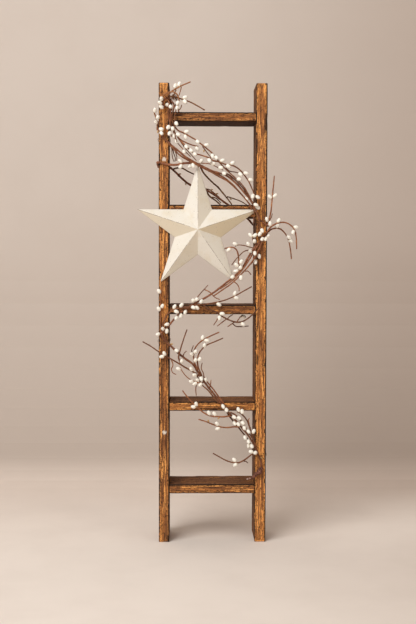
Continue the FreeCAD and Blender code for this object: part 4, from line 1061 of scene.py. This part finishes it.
def makeTuft():
    look = tuftLook
    steps = look["steps"]
    draws = random.Random(91)
    points, faces, tones = [], [], []
    for _ in range(look["strands"]):
        place = Vector([draws.gauss(0, 0.4) * reach for reach in look["spread"]])
        place += Vector(look["middle"])
        heading = Vector([draws.uniform(-most, most) for most in look["headings"]]).normalized()
        length = look["length"] * draws.uniform(0.5, 1.0)
        path = [place - heading * length / 2]
        for _ in range(steps):
            bend = Vector([draws.uniform(-1, 1) for _ in range(3)]) * look["curl"]
            heading += bend * Vector((1, 0.5, 1))
            heading.normalize()
            path.append(path[-1] + heading * length / steps)
        # thinner towards both ends
        sizes = [look["thick"] * (1 - 0.5 * abs(step / (steps / 2) - 1)) for step in range(steps + 1)]
        tube(path, sizes, look["sides"], roundShape, points, faces)
        tones += [draws.random()] * (len(points) - len(tones))
    mesh = meshFrom("knot_tuft_and_painted_shade", points, faces, {"tone": tones})
    addPiece(mesh, None, "twig_bark", barkMaterial("bark_fibre", look["colours"]))


# berries: ivory pips on short stalks

berryLook = {
    "sides": 12,
    # share of the way from root to tip, and share of the radius there
    "profile": ((0.0, 0.2), (0.05, 0.42), (0.13, 0.72), (0.24, 0.92), (0.38, 1.0),
                (0.54, 1.0), (0.68, 0.92), (0.81, 0.74), (0.91, 0.48), (0.98, 0.18)),
    "swell": (1.1, 1.22),  # fuller than the six-sided solid
    "lean": 0.08,  # of the radius
    "dimple": 0.035,
    "ivory": srgb(252, 248, 237),
    "warm": srgb(230, 204, 156),
    "calyx": srgb(122, 84, 52),
    "budTan": srgb(190, 148, 86),
    "patchAt": (0.5, 0.75, 0, 0.25),
    "rootShadeAt": (0.22, 0.0, 0, 0.7),
    "calyxAt": (0.95, 0.98, 0, 0.7),
    "relief": 0.3 * mm,
}


def pipAxes(node):
    # root, tip and radius of each berry or bud: its two farthest corners are its ends
    bm, groups = islands(node)
    pips = []
    for group in groups:
        verts = [vert.co.copy() for vert in group]
        pairs = [(a, b) for a in verts for b in verts]
        root, tip = max(pairs, key=lambda pair: (pair[0] - pair[1]).length)
        axis = (tip - root).normalized()
        rest = [co for co in verts if (co - root).length > 1e-6 and (co - tip).length > 1e-6]
        middle = sum(rest, Vector()) / len(rest)
        if (middle - root).dot(axis) < (tip - root).length / 2:
            root, tip = tip, root
            axis = -axis
        radius = max((co - root - axis * (co - root).dot(axis)).length for co in rest)
        pips.append((root, tip, radius))
    bm.free()
    pips.sort(key=lambda pip: tuple(round(number, 5) for number in pip[0]))
    return pips


def makePips(pieceName, node, slotName, material, seed):
    look = berryLook
    sides = look["sides"]
    draws = random.Random(seed)
    points, faces, along = [], [], []
    for root, tip, radius in pipAxes(node):
        axis = tip - root
        first = axis.orthogonal().normalized()
        second = axis.normalized().cross(first)
        lean = Vector([draws.uniform(-1, 1) for _ in range(3)]) * radius * look["lean"]
        swell = draws.uniform(*look["swell"])
        start = len(points)
        for share, belly in look["profile"]:
            middle = root + axis * share + lean * sin(pi * share)
            for step in range(sides):
                turn = 2 * pi * step / sides
                dimple = 1 + look["dimple"] * noiseAt(share * 3, turn, seed + start)
                points.append(middle + (first * cos(turn) + second * sin(turn))
                              * (radius * belly * swell * dimple))
                along.append(share)
        faces += ringFaces(start, len(look["profile"]), sides)
    addPiece(meshFrom(pieceName, points, faces, {"along": along}), node, slotName, material)


def berryMaterial(name, skin, warm):
    look = berryLook
    nodes = newMaterial(name)
    along = nodes.value("along")
    cloud = nodes.noise(260, detail=3)
    nodes.base = skin
    nodes.coat(cloud, look["patchAt"], warm)
    # painted shade: a warm tan towards each root, where the berry meets its stalk
    nodes.coat(along, look["rootShadeAt"], warm)
    nodes.coat(along, look["calyxAt"], look["calyx"])
    nodes.bump(cloud, 0.2, look["relief"])
    return nodes.finish(0.34, 0.5)


def makeGarland():
    kinds = ("main", "twig", "honey", "dark")
    barks = {kind: barkMaterial(f"{kind}_bark", barkLook[kind]) for kind in kinds}
    berrySkin = berryMaterial("berry_skin", berryLook["ivory"], berryLook["warm"])
    budSkin = berryMaterial("bud_skin", berryLook["budTan"], berryLook["calyx"])
    for index, part in enumerate(("upper", "middle", "lower")):
        makeStems(f"{part}_main_branch", f"{part}_main_stem", "main_bark", barks["main"], 3 + index)
    for index, part in enumerate(("top", "upper", "right", "middle", "lower", "bottom")):
        bark = barks["honey" if part == "top" else "twig"]
        makeStems(f"{part}_side_twigs", f"{part}_twigs", "twig_bark", bark, 10 + index)
        makePips(f"{part}_pip_berries", f"{part}_berries", "berry_skin", berrySkin, 40 + index)
    # painted shade: the back twigs get the darker bark
    makeStems("back_side_twigs", "back_twigs", "dark_bark", barks["dark"], 30, barkLook["backSwell"])
    makePips("twig_buds", "garland_buds", "bud_skin", budSkin, 60)
    makeTapedEnd()
    makeTuft()
    tieBark = barkMaterial("tie_wire", barkLook["dark"])
    makeStems("brown_tie_wires", "garland_ties", "tie_wire", tieBark, 80)
    print("garland made")


# room, light and camera

roomLook = {
    # painted shade: the floor darker further back and the wall darker low down, as the lamps' light falls
    # off; shade darkens the right
    "floorNear": srgb(240, 229, 219),
    "floorFar": srgb(230, 215, 203),
    "wallHigh": srgb(212, 200, 190),
    "wallLow": srgb(194, 179, 167),
    "shade": srgb(214, 204, 198),  # multiplied in towards the right
    # all in metres, y behind the ladder, z up, x to the right
    "front": -3.5,
    "coveFrom": 0.45,
    "cove": 0.5,
    "coveSteps": 12,
    "half": 5.0,
    "height": 4.5,
    "floorAt": (-0.1, 0.6),
    "wallAt": (0.0, 0.75),
    "wallFrom": (-0.01, 0.05),
    # the right is darker, but not the floor just behind the ladder
    "shadeBefore": (-0.25, 0.1, 0.5, 0.0),
    "shadeBehind": (0.25, 0.5, 0.0, 0.5),
    "shadeAcross": (-0.1, 0.8),
    "paperAt": (0.35, 0.75, 0, 0.12),
    "fade": (1.85, 3.2),  # from the ladder's foot, into the pale room
}

cameraLook = {
    "place": (-52.8 * mm, -2110.5 * mm, 575.4 * mm),
    "pitch": 3.106,  # degrees down
    "yaw": 1.2,  # degrees to the right
    "roll": 0.12,
    "lens": 60.17,
}

lightLook = {
    "key": {"place": (-1.56, -2.14, 2.62), "size": 2.3, "watts": 98, "colour": (1.0, 0.995, 0.985)},
    "fill": {"place": (2.4, -2.2, 1.35), "size": 1.7, "watts": 15, "colour": (1.0, 0.88, 0.76)},
    "top": {"place": (0.2, 0.3, 2.8), "size": 2.0, "watts": 6, "colour": (1.0, 0.97, 0.94)},
}
lampAim = (0, 0, 0.45)

skyLook = {
    "light": (1.0, 0.94, 0.88, 1),
    "strength": 0.26,
    "seen": srgb(208, 194, 182),  # what the camera, metal and glass see past the canvas
}


def canvasMaterial():
    look = roomLook
    nodes = newMaterial("sweep_canvas")
    places = nodes.add("ShaderNodeSeparateXYZ", {"Vector": nodes.coordinates}, None)
    # painted shade: the floor and wall colours darken away from the lamps
    floor = nodes.mix(nodes.between(places["Y"], *look["floorAt"]), look["floorNear"], look["floorFar"])
    wall = nodes.mix(nodes.between(places["Z"], *look["wallAt"]), look["wallLow"], look["wallHigh"])
    nodes.base = nodes.mix(nodes.between(places["Z"], *look["wallFrom"]), floor, wall)
    dim = nodes.maths("MAXIMUM", nodes.between(places["Y"], *look["shadeBefore"]),
                      nodes.between(places["Y"], *look["shadeBehind"]))
    right = nodes.times(nodes.between(places["X"], *look["shadeAcross"]), dim)
    nodes.cover(right, look["shade"], "MULTIPLY")
    nodes.coat(nodes.noise(7), look["paperAt"], look["wallLow"])
    made = nodes.finish(0.9, 0.1)
    # far off it fades into the pale room
    away = nodes.add("ShaderNodeVectorMath", {0: nodes.coordinates}, "Value", operation="LENGTH")
    fade = nodes.times(nodes.seenRays(), nodes.between(away, *look["fade"]))
    pale = nodes.add("ShaderNodeEmission", {"Color": skyLook["seen"]})
    faded = nodes.mixShaders(fade, nodes.shader.outputs[0], pale)
    # the canvas is painted on its inner side only, so that the ladder's back can be looked at
    inner = nodes.add("ShaderNodeNewGeometry", output="Backfacing")
    nodes.surface(nodes.mixShaders(inner, faded, nodes.add("ShaderNodeBsdfTransparent")))
    return made


def makeRoom():
    look = roomLook
    profile = [(look["front"], 0), (look["coveFrom"], 0)]
    for step in range(1, look["coveSteps"] + 1):
        turn = step / look["coveSteps"] * pi / 2
        profile.append((look["coveFrom"] + look["cove"] * sin(turn),
                        look["cove"] * (1 - cos(turn))))
    profile.append((look["coveFrom"] + look["cove"], look["height"]))
    points = [(x, y, z) for y, z in profile for x in (-look["half"], look["half"])]
    faces = [(2 * i, 2 * i + 1, 2 * i + 3, 2 * i + 2) for i in range(len(profile) - 1)]
    # the floor runs on behind the canvas too
    back = len(points)
    points += [(x, y, 0) for y in (look["coveFrom"], look["half"]) for x in (-look["half"], look["half"])]
    faces.append((back, back + 1, back + 3, back + 2))
    mesh = meshFrom("studio_sweep", points, faces, smooth=False)
    mesh.materials.append(canvasMaterial())
    room = placed("studio_sweep", mesh)


def makeLights():
    for name, look in lightLook.items():
        lamp = bpy.data.lights.new(name, "AREA")
        lamp.energy = look["watts"]
        lamp.size = look["size"]
        lamp.color = look["colour"]
        thing = placed(name, lamp)
        thing.location = look["place"]
        aim = Vector(lampAim) - Vector(look["place"])
        thing.rotation_euler = aim.to_track_quat("-Z", "Y").to_euler()


def makeWorld():
    nodes = Nodes(bpy.data.worlds.new("soft_room"))
    sky = nodes.tree.nodes["Background"]
    sky.inputs["Color"].default_value = skyLook["light"]
    sky.inputs["Strength"].default_value = skyLook["strength"]
    seen = nodes.add("ShaderNodeBackground", {"Color": skyLook["seen"]})
    nodes.surface(nodes.mixShaders(nodes.seenRays(), sky.outputs[0], seen))
    scene.world = nodes.holder
    print("room, lamps and sky set")


def makeCamera():
    look = cameraLook
    data = bpy.data.cameras.new("photo_camera")
    data.lens = look["lens"]
    camera = placed("photo_camera", data)
    camera.matrix_world = (Matrix.Translation(look["place"])
                           @ Matrix.Rotation(-radians(look["yaw"]), 4, "Z")
                           @ Matrix.Rotation(radians(90 - look["pitch"]), 4, "X")
                           @ Matrix.Rotation(radians(look["roll"]), 4, "Z"))
    scene.camera = camera


makeCamera()
makeRoom()
makeLights()
makeWorld()
makeBoards()
makeStar()
dressFixings()
makeGarland()

bpy.context.view_layer.update()
bpy.context.scene.view_settings.view_transform = "Standard"
